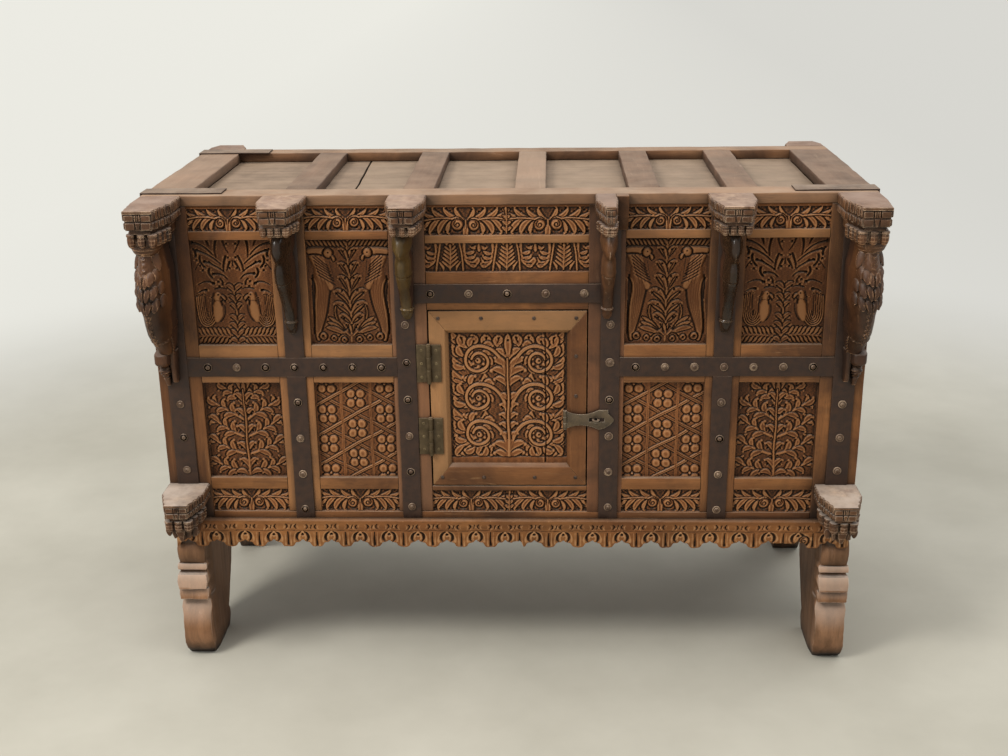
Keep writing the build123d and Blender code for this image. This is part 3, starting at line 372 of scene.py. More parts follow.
# the next palette is a darker copy for the upper row of carved panels: painted shade under the top's overhang
UPPER_SHADED_TEAK = ((130, 78, 40), (102, 59, 28), (54, 30, 14), (186, 130, 82))
WARM_TEAK = ((158, 98, 54), (128, 76, 38), (62, 35, 17), (204, 148, 98))
GREY_TOP = ((138, 103, 79), (110, 80, 59), (58, 40, 29), (196, 168, 142))
BOARD_TOP = ((140, 118, 96), (108, 88, 68), (54, 40, 29), (172, 152, 126))
LEG_TEAK = ((196, 146, 108), (160, 112, 76), (66, 44, 25), (232, 206, 186))
BRACKET_TEAK = ((136, 92, 58), (96, 60, 35), (32, 20, 12), (212, 178, 146))
JAMB_TEAK = ((136, 86, 52), (106, 65, 38), (46, 28, 17), (182, 132, 94))
BIRD_TEAK = ((126, 82, 49), (84, 51, 30), (26, 16, 9), (208, 160, 120))
SHADED_TEAK = ((92, 56, 33), (66, 40, 24), (30, 18, 11), (150, 104, 70))
WARM_TOP = ((160, 114, 76), (130, 88, 56), (58, 38, 25), (204, 170, 140))
OLIVE_TEAK = ((110, 86, 46), (76, 58, 32), (30, 22, 13), (176, 144, 98))
BLACKENED = ((66, 47, 32), (40, 28, 19), (16, 12, 9), (150, 126, 100))
RAW_BACK = ((128, 88, 56), (104, 69, 43), (60, 39, 25), (150, 112, 78))

WOODS = {  # along which axis the grain runs, the palette, and what differs from plain oiled teak
    "rail_teak": (ALONG_X, TEAK, dict(dust=0.7)),
    # a long reach, so that the posts go dark beside the brackets: painted shade as well as grime
    "stile_teak": (ALONG_Z, TEAK, dict(grime=1.25, reach=0.08)),
    # the upper panels' carved teak: the darker copy, painted shade under the overhang
    "carved_teak": (ALONG_Z, UPPER_SHADED_TEAK, dict(carved=True, wear_and_highlight=0.25, grime=0.6, figure=0.3, smoke=0.5)),
    "warm_carved_teak": (ALONG_Z, WARM_TEAK, dict(carved=True, wear_and_highlight=0.25, grime=0.5, figure=0.3, smoke=0.4)),
    "frieze_teak": (ALONG_X, WARM_TEAK, dict(carved=True, wear_and_highlight=0.25, grime=0.5, figure=0.3, smoke=0.4)),
    "top_rail_wood": (ALONG_X, WARM_TOP, dict(dust=0.72)),
    "top_slat_wood": (ALONG_Y, GREY_TOP, dict(dust=0.45)),
    "top_board_wood": (ALONG_X, BOARD_TOP, dict(dust=0.6, figure=0.6)),
    "leg_teak": (ALONG_Z, LEG_TEAK, dict(
        figure=0.6, smoke=0.8, wear_and_highlight=1.1, dust=1.0, dust_and_top_light_colour=PALE_DUST_AND_LIGHT, grime=1.2, reach=0.04, toned=0.62,
    )),
    "bracket_teak": (ALONG_Z, BRACKET_TEAK, dict(
        rough=0.5, grime=1.5, wear_and_highlight=1.2, dust=0.8, dust_and_top_light_colour=PINK_DUST_AND_LIGHT, reach=0.022,
    )),
    "corbel_teak": (ALONG_Z, BRACKET_TEAK, dict(
        rough=0.6, grime=1.5, wear_and_highlight=1.3, dust=0.95, dust_and_top_light_colour=PALE_DUST_AND_LIGHT, reach=0.022,
    )),
    "apron_teak": (ALONG_X, TEAK, dict(carved=True, wear_and_highlight=0.5, grime=0.6, dust=0.3, smoke=0.6)),
    "door_stile_teak": (ALONG_Z, DOOR_TEAK, dict(wear_and_highlight=0.9)),
    "door_rail_teak": (ALONG_X, DOOR_TEAK, dict(wear_and_highlight=0.9)),
    # the jambs take the same long reach: painted shade as well as grime beside the brackets
    "jamb_teak": (ALONG_Z, JAMB_TEAK, dict(grime=1.25, reach=0.08)),
    "bird_teak": (ALONG_Z, BIRD_TEAK, dict(
        rough=0.46, grime=1.6, wear_and_highlight=1.3, dust=0.5, dust_and_top_light_colour=PINK_DUST_AND_LIGHT, reach=0.018,
    )),
    # the flat sides of the bracket planks: a darker, shaded copy of the wood, painted shade
    "shaded_plank_teak": (ALONG_Z, SHADED_TEAK, dict(grime=1.3, wear_and_highlight=0.8, reach=0.05)),
    "olive_teak": (ALONG_Z, OLIVE_TEAK, dict(rough=0.38, wear_and_highlight=1.2, smoke=0.5)),
    "blackened_teak": (ALONG_Z, BLACKENED, dict(rough=0.26, wear_and_highlight=1.2, smoke=0.5)),
    "carcase_wood": (ALONG_X, RAW_BACK, dict(dust=0.6, smoke=0.6)),
    "carcase_post": (ALONG_Z, RAW_BACK, dict(dust=0.6, smoke=0.6)),
}


# ---------------------------------------------------------------- metals
def old_iron(name, base, bloom, bright, metallic, rough, wear_and_highlight):
    """Forged iron: patches of rust bloom, rubbed edges with a painted highlight, grime and painted shade in hollows,
    dust with a painted top light, and fine pits.
    """
    material, w, shader = blank_material(name)
    place = w.place()
    mottle = w.span(w.cloud(place, 70.0, 6.0, 0.68), 0.38, 0.66)
    pits = w.cloud(place, 420.0, 3.0, 0.6)
    edge = grouped(w, WEAR_AND_HIGHLIGHT, {"Place": place, "Radius": 1.2 * mm, "Amount": wear_and_highlight})["WornAndHighlitEdge"]
    dirt_and_shade = grouped(w, GRIME_AND_SHADE, {"Place": place, "Reach": 12 * mm, "Amount": 0.6})["DirtAndShade"]
    lying_dust_and_light = grouped(w, DUST_AND_TOP_LIGHT, {"Place": place, "Amount": 0.7})["Dust"]
    colour = w.blend(mottle, srgb(*base), srgb(*bloom))
    # rubbed edges with a painted highlight, then dirt and painted shade in hollows, then dust with a painted top light
    colour = w.blend(edge, colour, srgb(*bright))
    colour = w.blend(dirt_and_shade, colour, DIRT_AND_SHADE)
    colour = w.blend(lying_dust_and_light, colour, TOP_DUST_AND_LIGHT_COLOUR)
    w.feed(shader.inputs["Base Color"], colour)
    shine = w.sum("MULTIPLY", w.span(mottle, 0.0, 1.0, metallic, metallic * 0.35), w.span(lying_dust_and_light, 0.0, 1.0, 1.0, 0.1))
    w.feed(shader.inputs["Metallic"], shine)
    w.feed(shader.inputs["Roughness"], w.span(mottle, 0.0, 1.0, rough, rough + 0.22))
    height = w.sum("ADD", w.sum("MULTIPLY", mottle, 0.6), w.sum("MULTIPLY", pits, 0.5))
    bumped(w, shader, height, 0.4, 0.5 * mm)
    return material


IRONS = {  # the metal, its bloom and where it is rubbed bright with a painted highlight; how metallic, how rough, how worn and highlit
    "strap_iron": ((49, 31, 21), (66, 43, 28), (140, 106, 80), 0.14, 0.52, 0.8),
    "stud_iron": ((96, 72, 54), (66, 45, 32), (186, 158, 130), 0.35, 0.42, 1.0),
    "nail_iron": ((52, 36, 27), (40, 27, 20), (120, 96, 78), 0.3, 0.45, 0.8),
    "hinge_iron": ((74, 60, 38), (92, 74, 47), (160, 140, 100), 0.5, 0.42, 0.9),
    "hasp_bronze": ((110, 94, 74), (74, 62, 48), (236, 222, 198), 0.62, 0.32, 1.4),
}


# ---------------------------------------------------------------- every CAD node's finish
NODE_FINISH = {"floor_boards": "carcase_wood"}
SLOT_FINISH = {
    "panel_teak": "carved_teak",
    "frame_teak": "stile_teak",
    "top_wood": "top_slat_wood",
    "top_board_wood": "top_board_wood",
    "carcase_wood": "carcase_post",
    "leg_wood": "leg_teak",
    "dark_bracket_wood": "blackened_teak",
    "new_bracket_wood": "stile_teak",
    "patch_wood": "stile_teak",
    "strap_iron": "strap_iron",
    "hinge_iron": "hinge_iron",
    "hasp_bronze": "hasp_bronze",
}
finishes = {name: old_wood(name, stretch, palette, **more) for name, (stretch, palette, more) in WOODS.items()}
finishes.update((name, old_iron(name, *made)) for name, made in IRONS.items())


def finish_nodes():
    for name, node in frame["nodes"].items():
        for held in node.material_slots:
            held.material = finishes[NODE_FINISH.get(name) or SLOT_FINISH[held.material.name.split(".")[0]]]


# ---------------------------------------------------------------- floor and backdrop
FLOOR_RADIUS = 45.0
FLOOR_TONES = (srgb(200, 195, 180), srgb(186, 181, 166))
# the backdrop's tones run from lighter on the left to darker on the right, a painted falloff of the light
WALL_TONES = (srgb(232, 231, 223), srgb(212, 211, 205))


def set_floor():
    """A pale mottled floor, which far off turns into a plain wall and still takes the shadow near the chest."""
    bm = bmesh.new()
    bmesh.ops.create_circle(bm, cap_ends=True, segments=96, radius=FLOOR_RADIUS)
    mesh = bpy.data.meshes.new("floor")
    bm.to_mesh(mesh)
    bm.free()
    floor = bpy.data.objects.new("floor", mesh)
    bpy.context.scene.collection.objects.link(floor)
    material, w, shader = blank_material("pale_floor")
    place = w.place()
    from_chest = w.node("ShaderNodeVectorMath", {0: place}, operation="LENGTH").outputs["Value"]
    far = w.span(from_chest, 1.5, 3.1, smooth=True)
    across = w.node("ShaderNodeSeparateXYZ", {0: place}).outputs[0]
    mottled = w.span(w.cloud(place, 1.9, 5.0, 0.6), 0.35, 0.66)
    near_tone = w.blend(mottled, *FLOOR_TONES)
    rays = w.node("ShaderNodeLightPath").outputs
    backdrop = w.sum("MULTIPLY", far, w.sum("MAXIMUM", rays["Is Camera Ray"], rays["Is Glossy Ray"]))
    w.feed(shader.inputs["Base Color"], w.blend(backdrop, near_tone, srgb(0, 0, 0)))
    # the backdrop's emitted tone darkens toward the right, a painted falloff of the light
    w.feed(shader.inputs["Emission Color"], w.blend(w.span(across, -2.5, 2.5), *WALL_TONES))
    w.feed(shader.inputs["Emission Strength"], backdrop)
    shader.inputs["Roughness"].default_value = 0.9
    shader.inputs["Specular IOR Level"].default_value = 0.2
    mesh.materials.append(material)


def set_world():
    world = bpy.data.worlds.new("pale_room")
    bpy.context.scene.world = world
    world.use_nodes = True
    w = Wiring(world.node_tree)
    rays = w.node("ShaderNodeLightPath").outputs
    seen = w.sum("MAXIMUM", rays["Is Camera Ray"], rays["Is Glossy Ray"])
    seen = w.sum("MAXIMUM", seen, rays["Is Transmission Ray"])
    shader = world.node_tree.nodes["Background"]
    w.feed(shader.inputs["Color"], w.blend(seen, srgb(226, 229, 232), srgb(216, 216, 212)))
    w.feed(shader.inputs["Strength"], w.span(seen, 0.0, 1.0, 0.66, 0.9))


# ---------------------------------------------------------------- making pieces
def link_piece(name, mesh, material, body, replaced=()):
    """Puts a finished mesh in the scene, riding on its body and standing for the nodes it replaces."""
    piece = bpy.data.objects.new(name, mesh)
    bpy.context.scene.collection.objects.link(piece)
    if not mesh.materials:
        mesh.materials.append(material)
    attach(piece, body)
    if replaced:
        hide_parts(*replaced)
    return piece


def bake_mesh(name, bm, crease=42.0):
    """Finishes a mesh with its normals outward, shaded smooth but for edges sharper than crease."""
    bmesh.ops.recalc_face_normals(bm, faces=bm.faces)
    for face in bm.faces:
        face.smooth = True
    mesh = bpy.data.meshes.new(name)
    bm.to_mesh(mesh)
    bm.free()
    mesh.set_sharp_from_angle(angle=math.radians(crease))
    return mesh


def merged_copy(node):
    """The node's loose triangles as one joined mesh with its flat faces whole again."""
    bm = bmesh.new()
    bm.from_mesh(frame["nodes"][node].data)
    bmesh.ops.remove_doubles(bm, verts=bm.verts, dist=0.01 * mm)
    bmesh.ops.dissolve_limit(bm, angle_limit=math.radians(1.0), verts=bm.verts, edges=bm.edges)
    return bm


def island_sets(bm):
    """The vertices of every separate solid in a mesh."""
    left = set(bm.verts)
    while left:
        search = [left.pop()]
        found = list(search)
        while search:
            near = {edge.other_vert(vert) for vert in search for edge in vert.link_edges} & left
            left -= near
            search = list(near)
            found += search
        yield found


def reach_of(verts):
    """Lowest and highest corner of some vertices."""
    corners = np.array([vert.co for vert in verts])
    return corners.min(0), corners.max(0)


def solid_boxes(node):
    """Lowest and highest corner of every separate solid in a node, from the lowest row up and from left to right."""
    bm = merged_copy(node)
    boxes = [tuple(map(Vector, reach_of(members))) for members in island_sets(bm)]
    bm.free()
    return sorted(boxes, key=lambda box: (round(box[0].z, 3), box[0].x))


def saw(bm, spot, normal, dist=0.0):
    """Cuts a whole mesh along a plane."""
    bmesh.ops.bisect_plane(bm, geom=bm.verts[:] + bm.edges[:] + bm.faces[:], dist=dist, plane_co=spot, plane_no=normal)


def axis_line(axis):
    return Vector([float(axis == index) for index in range(3)])


# ---------------------------------------------------------------- worn timber and iron
def soften_edges(bm, width):
    """Rounds every outward edge of a sawn solid as handling does."""
    sharp = [
        edge for edge in bm.edges
        if len(edge.link_faces) == 2 and edge.is_convex and edge.calc_face_angle(0.0) > math.radians(30.0)
    ]
    bmesh.ops.bevel(
        bm, geom=sharp, offset=width * mm, segments=2, profile=0.5, affect="EDGES",
        clamp_overlap=True, material=-1,
    )


def slice_along(bm, axis, low, high, step):
    """Cuts a long member across every step, so that it can bend a little."""
    normal = axis_line(axis)
    count = int((high - low) / (step * mm))
    for index in range(1, count):
        saw(bm, normal * (low + (high - low) * index / count), normal)


def wear_down(bm, wave):
    """Moves every corner by a slow unevenness, never out of the box that its solid fills."""
    for members in island_sets(bm):
        low, high = reach_of(members)
        for vert in members:
            shift = noise.noise_vector(vert.co * 19.0) * 0.7 + noise.noise_vector(vert.co * 61.0) * 0.5
            moved = vert.co + shift * wave * mm
            vert.co = Vector([min(max(value, least), most) for value, least, most in zip(moved, low, high)])


def mark_tone(mesh, sets):
    """Gives each board of a mesh a tone of its own, from -1 darker to 1 lighter."""
    tones = np.zeros(len(mesh.vertices))
    for members in sets:
        middle = sum((mesh.vertices[index].co for index in members), Vector()) / len(members)
        tones[members] = max(-1.0, min(1.0, 2.2 * noise.noise(middle * 31.0 + Vector((3.7, 1.1, 8.3)))))
    mesh.attributes.new("tone", "FLOAT", "POINT").data.foreach_set("value", tones)


def dress(node, finish, edge, wave, step=26.0, prepare=None, tones=None):
    """Stands for a node of sawn members by the same members with rubbed arrises and uneven faces."""
    bm = merged_copy(node)
    if prepare:
        prepare(bm)
    soften_edges(bm, edge)
    low, high = reach_of(bm.verts)
    for axis in range(3):
        if high[axis] - low[axis] > 2.5 * step * mm:
            slice_along(bm, axis, low[axis], high[axis], step)
    wear_down(bm, wave)
    bm.verts.index_update()
    sets = [[vert.index for vert in members] for members in island_sets(bm)]
    mesh = bake_mesh(f"{node}_worn", bm)
    mark_tone(mesh, sets)
    if tones:
        spots = np.array([vert.co for vert in mesh.vertices]) / mm
        mesh.attributes["tone"].data.foreach_set("value", tones(spots))
    return link_piece(f"{node}_worn", mesh, finishes[finish], frame["nodes"][node]["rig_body"], [node])


LEG_X = 640.0  # the middle of a front leg
LEG_HALF = 30.0
LEG_ARRIS = (  # how far a leg's front arrises are planed back, by height; its bands stay sharp
    (0, 2), (30, 7), (60, 10), (110, 9), (128, 4), (130, 0), (212, 0), (214, 3), (230, 8), (250, 8), (264, 3),
)
LEG_WAIST = (  # how far a leg's flanks are drawn in at the front, by height; the foot of each band flares out
    (0, 4), (10, 2.5), (30, 0), (60, -2), (95, -2), (120, 1), (132, 4), (134.5, 4), (135, -2.6), (146, -0.5), (157, 1),
    (158.5, 4.5), (160, -2.8), (175, 0), (190, 1.5), (194.5, 5.5), (199, -1.5), (211, 1.5), (213, 5), (225, 3.5),
    (245, 2.5), (264, 3),
)
LEG_TONE = (  # dust on the bands and the shoulder of the ball, oil on the knee, painted shade in the gaps at the bands' lips and under the knee
    (0, 0.5), (12, -0.3), (50, -0.2), (80, 0.1), (105, 0.5), (128, 0.8), (134, -0.5), (136, 0.0), (150, 0.3),
    (157, 0.6), (159, -1.0), (161, 0.5), (175, 0.6), (190, 0.9), (194, -1.0), (199, 0.4), (211, 0.9), (214, -1.0),
    (235, -0.6), (262, -0.2),
)


def shape_leg(bm, side):
    """Planes flats along a leg's front arrises, rounds its knee and ball, and flares its bands round the corners."""
    middle = side * LEG_X
    cuts = ((0, (middle - 17.0, middle + 17.0)), (1, (-200.0, -182.0)),
            (2, (10, 30, 60, 95, 120, 132, 146, 158.5, 175, 194.5, 205, 213, 225, 245)))
    for axis, spots in cuts:
        normal = axis_line(axis)
        for spot in spots:
            saw(bm, normal * spot * mm, normal, 0.01 * mm)
    for vert in bm.verts:
        x, y, z = vert.co / mm
        off = x - middle
        if abs(off) < LEG_HALF - 0.5:
            continue
        if y < -205.0:
            vert.co.y += float(np.interp(z, *zip(*LEG_ARRIS))) * mm * (1.0 if off * side < 0 else 0.7)
        ahead = min(1.0, max(0.0, (-182.0 - y) / 18.0))
        vert.co.x -= math.copysign(float(np.interp(z, *zip(*LEG_WAIST))) * ahead, off) * mm


CRACK_X = -297.0
CRACK_HALF = 1.8


def split_board(bm):
    """Opens the long drying crack that runs through the second bay of the top."""
    normal = Vector((1.0, 0.03, 0.0)).normalized()
    middle = Vector((CRACK_X * mm, 0.0, 0.0))
    for side in (-1, 1):
        saw(bm, middle + side * CRACK_HALF * mm * normal, normal)
    gap = [
        face for face in bm.faces
        if abs((face.calc_center_median() - middle).dot(normal)) < (CRACK_HALF - 0.05) * mm
    ]
    bmesh.ops.delete(bm, geom=gap, context="FACES")
    bmesh.ops.holes_fill(bm, edges=[edge for edge in bm.edges if edge.is_boundary], sides=0)
    bmesh.ops.recalc_face_normals(bm, faces=bm.faces)


def leg_tones(spots):
    """The tone of each place on a leg: its own by height in front, with painted shade along the flanks."""
    front = np.clip((-202.0 - spots[:, 1]) / 8.0, 0.0, 1.0)
    return front * np.interp(spots[:, 2], *zip(*LEG_TONE)) - (1.0 - front) * 0.9


def add_turned(bm, spot, toward, profile, sides=12, turn=0.0):
    """A form drawn along a direction through steps of (advance, radius) in millimetres."""
    toward = Vector(toward).normalized()
    side = toward.orthogonal().normalized()
    if abs(toward.z) > 0.9:
        side = Vector((math.cos(turn), math.sin(turn), 0.0))
    up = toward.cross(side)
    made = bmesh.ops.create_circle(bm, cap_ends=True, segments=sides, radius=1.0)["verts"]
    spokes = {vert: side * vert.co.x + up * vert.co.y for vert in made}
    for vert, spoke in spokes.items():
        vert.co = Vector(spot) + toward * profile[0][0] * mm + spoke * profile[0][1] * mm
    face = made[0].link_faces[0]
    for (before, last), (advance, radius) in zip(profile, profile[1:]):
        drawn = bmesh.ops.extrude_face_region(bm, geom=[face])["geom"]
        face = next(item for item in drawn if isinstance(item, bmesh.types.BMFace))
        middle = Vector(spot) + toward * before * mm
        for vert in face.verts:
            vert.co = middle + toward * (advance - before) * mm + (vert.co - middle) * (radius / last)


def add_block(bm, middle, outward, width, height, depth, taper, edge):
    """A small bevelled block with its back on a face; taper narrows its foot."""
    made = bmesh.ops.create_cube(bm, size=1.0)["verts"]
    bmesh.ops.scale(bm, vec=Vector((width, depth, height)) * mm, verts=made)
    for vert in made:
        if vert.co.z < 0:
            vert.co.x *= taper
    edges = list({edge for vert in made for edge in vert.link_edges})
    shaped = bmesh.ops.bevel(
        bm, geom=edges, offset=edge * mm, segments=1, profile=0.5, affect="EDGES", clamp_overlap=True, material=-1,
    )["verts"]
    turn = Matrix.Rotation(math.atan2(outward.y, outward.x) + math.pi / 2, 3, "Z")
    bmesh.ops.rotate(bm, cent=(0, 0, 0), matrix=turn, verts=shaped)
    bmesh.ops.translate(bm, vec=middle, verts=shaped)


def add_leaf(bm, base, aim, outward, length, width, thick, droop):
    """A carved leaf: pointed at its tip, swollen at its middle, with a hollow along its rib."""
    aim = Vector(aim).normalized()
    across = aim.cross(Vector(outward)).normalized()
    outward = across.cross(aim).normalized()
    made = bmesh.ops.create_uvsphere(bm, u_segments=10, v_segments=7, radius=1.0)["verts"]
    for vert in made:
        along = (vert.co.z + 1.0) / 2.0
        breadth = vert.co.x * width / 2 * (1.2 - 0.55 * along)
        swell = vert.co.y * thick * (1.0 - 0.35 * along)
        if vert.co.y > 0.5 and abs(vert.co.x) < 0.5:
            swell *= 0.72
        place = aim * along * length + across * breadth + outward * (swell + droop * along * along)
        vert.co = Vector(base) + place * mm


def wrapped_skin(bm, columns, rows, shape):
    """Adds a closed skin drawn by shape(turn, share): turn goes round it and share down it, 0 to 1."""
    made = bmesh.ops.create_grid(bm, x_segments=columns, y_segments=rows, size=0.5)["verts"]
    flat = np.array([vert.co for vert in made])
    for vert, spot in zip(made, shape(flat[:, 0] + 0.5, 0.5 - flat[:, 1]) * mm):
        vert.co = spot
    bmesh.ops.remove_doubles(bm, verts=made, dist=0.004 * mm)
    bmesh.ops.holes_fill(bm, edges=[edge for edge in bm.edges if edge.is_boundary], sides=0)


def eased(spot, knots, blur=4.0):
    """A smooth line through (place, value) knots."""
    places, values = zip(*knots)
    return sum(np.interp(spot + blur * off, places, values) for off in (-1.0, -0.5, 0.0, 0.5, 1.0)) / 5.0


def rise(spot, centre, width):
    return np.exp(-((spot - centre) / width) ** 2)


# ---------------------------------------------------------------- capitals: slab, drop blocks and lotus bells
FRONT_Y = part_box("front_post_left")[0][1] / mm
STRAP_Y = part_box("upright_straps")[0][1] / mm
STRAP_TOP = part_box("upright_straps")[1][2] / mm
LIP = 4.8  # thickness of the slab's plain edge
BLOCK_ROWS = ((6.4, 15.4), (18.2, 28.4))  # top and foot of each row of drop blocks, below the slab's top
UPPER_BLOCKS = ((0.02, 0.36), (0.39, 0.46), (0.475, 0.525), (0.54, 0.61), (0.64, 0.98))
LOWER_BLOCKS = ((0.02, 0.38), (0.40, 0.60), (0.62, 0.98))
BELL_TOP = 36.0
BELL_FOOT = 54.0
BELL = ((0.0, 6.2), (1.0, 7.4), (3.0, 7.6), (4.0, 6.2), (8.0, 6.9), (13.0, 6.6), (16.5, 5.0), (18.5, 2.4))


def top_plans(node):
    """The plan of each slab in a node, as its corners in order."""
    bm = merged_copy(node)
    top = max(vert.co.z for vert in bm.verts)
    plans = [
        [vert.co / mm for vert in face.verts] for face in bm.faces
        if face.normal.z > 0.99 and face.calc_center_median().z > top - 0.1 * mm
    ]
    bm.free()
    return sorted(plans, key=lambda plan: plan[0].x)


class Slab:
    """One capital's plan, which every tier below repeats a little smaller."""

    def __init__(self, plan, toward=-1, trim=1.0, tall=1.0):
        ys = [spot.y for spot in plan]
        xs = [spot.x for spot in plan]
        self.plan = plan
        self.trim = trim
        self.tall = tall
        self.toward = toward
        self.wall_y, self.nose_y = (max(ys), min(ys)) if toward < 0 else (min(ys), max(ys))
        self.turn_y = (self.wall_y + self.nose_y) / 2
        self.middle_x = (min(xs) + max(xs)) / 2
        self.half = (max(xs) - min(xs)) / 2
        nose = [spot.x for spot in plan if abs(spot.y - self.nose_y) < 0.05]
        self.nose = (min(nose), max(nose))
        self.top = plan[0].z

    def spot(self, corner, drop, inset, flank=0.0):
        """A corner of the plan lowered by drop and set back by inset, and by flank more at the flanks."""
        share = max(0.0, (corner.y - self.turn_y) / (self.nose_y - self.turn_y))
        off = corner.x - self.middle_x
        x = corner.x - math.copysign(min((inset + flank) * self.trim, abs(off) * 0.9), off)
        return Vector((x, corner.y - self.toward * inset * self.trim * share, self.top - drop * self.tall)) * mm

    def sides(self, drop, inset):
        """Each straight side of a tier away from the wall, with its outward normal."""
        ring = [self.spot(corner, drop, inset) for corner in self.plan]
        pairs = list(zip(ring, ring[1:] + ring[:1]))
        turning = math.copysign(1, sum(a.x * b.y - b.x * a.y for a, b in pairs))
        for start, end in pairs:
            run = end - start
            if max(abs(start.y / mm - self.wall_y), abs(end.y / mm - self.wall_y)) > 0.1:
                yield start, run, Vector((run.y, -run.x, 0.0)).normalized() * turning

    def edge_x(self, y, side, inset):
        """Where a tier's flank stands at y, between the wall's width and the nose's."""
        share = max(0.0, (y - self.turn_y) / (self.nose_y - self.turn_y))
        wall = self.middle_x + side * self.half
        nose = self.nose[1] if side > 0 else self.nose[0]
        return wall + (nose - wall) * share - side * inset * self.trim


def stack_tiers(bm, slab, steps):
    """Draws a slab's plan down through steps of (drop, set back)."""
    face = bm.faces.new([bm.verts.new(slab.spot(corner, *steps[0])) for corner in slab.plan])
    for last, step in zip(steps, steps[1:]):
        drawn = bmesh.ops.extrude_face_region(bm, geom=[face])["geom"]
        face = next(item for item in drawn if isinstance(item, bmesh.types.BMFace))
        for vert in face.verts:
            corner = min(slab.plan, key=lambda corner: (slab.spot(corner, *last) - vert.co).length)
            vert.co = slab.spot(corner, *step)


def build_capital(bm, slab, bell_rows=3, fat=1.0):
    """A whole capital: lipped slab, two rows of drop blocks, neck, and bells round the core."""
    stack_tiers(bm, slab, (
        (0.0, 0.9, 1.8), (0.8, 0.0, 1.8), (LIP - 0.6, 0.0, 1.8), (LIP, 0.5, 1.8), (LIP + 0.8, 3.6), (29.6, 4.4),
        (30.6, 8.6), (BELL_TOP, 9.4), (BELL_TOP + 0.6, 12.0), (BELL_FOOT - 5.0, 13.0), (BELL_FOOT, 14.5),
    ))
    for row, (high, foot) in enumerate(BLOCK_ROWS):
        for start, run, outward in slab.sides((high + foot) / 2, 3.4 + 0.8 * row):
            length = run.length / mm
            if length < 3.2:
                continue
            shares = UPPER_BLOCKS if row == 0 else LOWER_BLOCKS
            flank = abs(outward.y) < 0.5 or length < 15.0
            if flank:
                count = max(1, round(length / 11.0))
                shares = [((index + 0.09) / count, (index + 0.91) / count) for index in range(count)]
            raised = high - 1.0 if flank and row == 0 else 0.0  # these stand up through the lip and scallop it
            for index, (low, high_share) in enumerate(shares):
                wedge = shares is LOWER_BLOCKS and index == 1
                middle = start + run * (low + high_share) / 2 + outward * 0.5 * mm
                middle.z += raised / 2 * slab.tall * mm
                add_block(bm, middle, outward, length * (high_share - low),
                          (foot - high + raised) * slab.tall * (1.12 if wedge else 1.0),
                          4.6 if wedge else 5.6 if flank else 3.8, 0.35 if wedge else 0.96, 1.5 if flank else 0.7)
    front_y = slab.nose_y - slab.toward * (10.0 * slab.trim + 4.5)
    span = [slab.edge_x(front_y, side, 9.0) - side * 2.0 for side in (-1, 1)]
    places = [(x, front_y) for x in np.linspace(*span, max(2, round((span[1] - span[0]) / (13.0 * fat)) + 1))]
    for row in range(1, bell_rows + 1):
        y = front_y - slab.toward * row * 14.5 * fat
        if (y - slab.wall_y) * slab.toward > 9.0:
            places += [(slab.edge_x(y, side, 11.5), y) for side in (-1, 1)]
    bell = [(advance * slab.tall * fat, radius * (0.9 + 0.1 * slab.tall) * fat) for advance, radius in BELL]
    for x, y in places:
        add_turned(bm, (x * mm, y * mm, (slab.top - BELL_TOP * slab.tall) * mm), (0, 0, -1), bell, 8, math.pi / 2)


# ---------------------------------------------------------------- birds under the capitals
class Bird:
    """A bird's skin: how far it stands off the post and how wide it is, by its drop from the top."""

    def __init__(self, centre, top, foot, reach, wide, blur=4.0, keen=0.8):
        self.centre = centre
        self.top = top
        self.foot = foot
        self.reach = reach
        self.wide = wide
        self.blur = blur
        self.keen = keen

    def at(self, angle, z, out=0.0):
        """A place on the skin; the angle is -90 degrees at the front, and out lifts it off the skin."""
        reach = eased(self.top - z, self.reach, self.blur) + out
        wide = eased(self.top - z, self.wide, self.blur) + out
        across, ahead = np.cos(angle), np.sin(angle)
        front = ahead < 0
        x = self.centre + wide * np.sign(across) * np.abs(across) ** np.where(front, self.keen, 0.3)
        y = STRAP_Y - 0.42 * reach + np.where(front, 0.58 * reach * ahead, 0.42 * reach * np.abs(ahead) ** 0.3)
        return x, y

    def add(self, bm, columns, rows, cut):
        def shape(turn, share):
            z = self.top + (self.foot - self.top) * share
            angle = 2 * math.pi * turn
            x, y = self.at(angle, z)
            x, y = self.at(angle, z, cut(x - self.centre, STRAP_Y - y, self.top - z))
            return np.stack([x, y, z], 1)
        wrapped_skin(bm, columns, rows, shape)


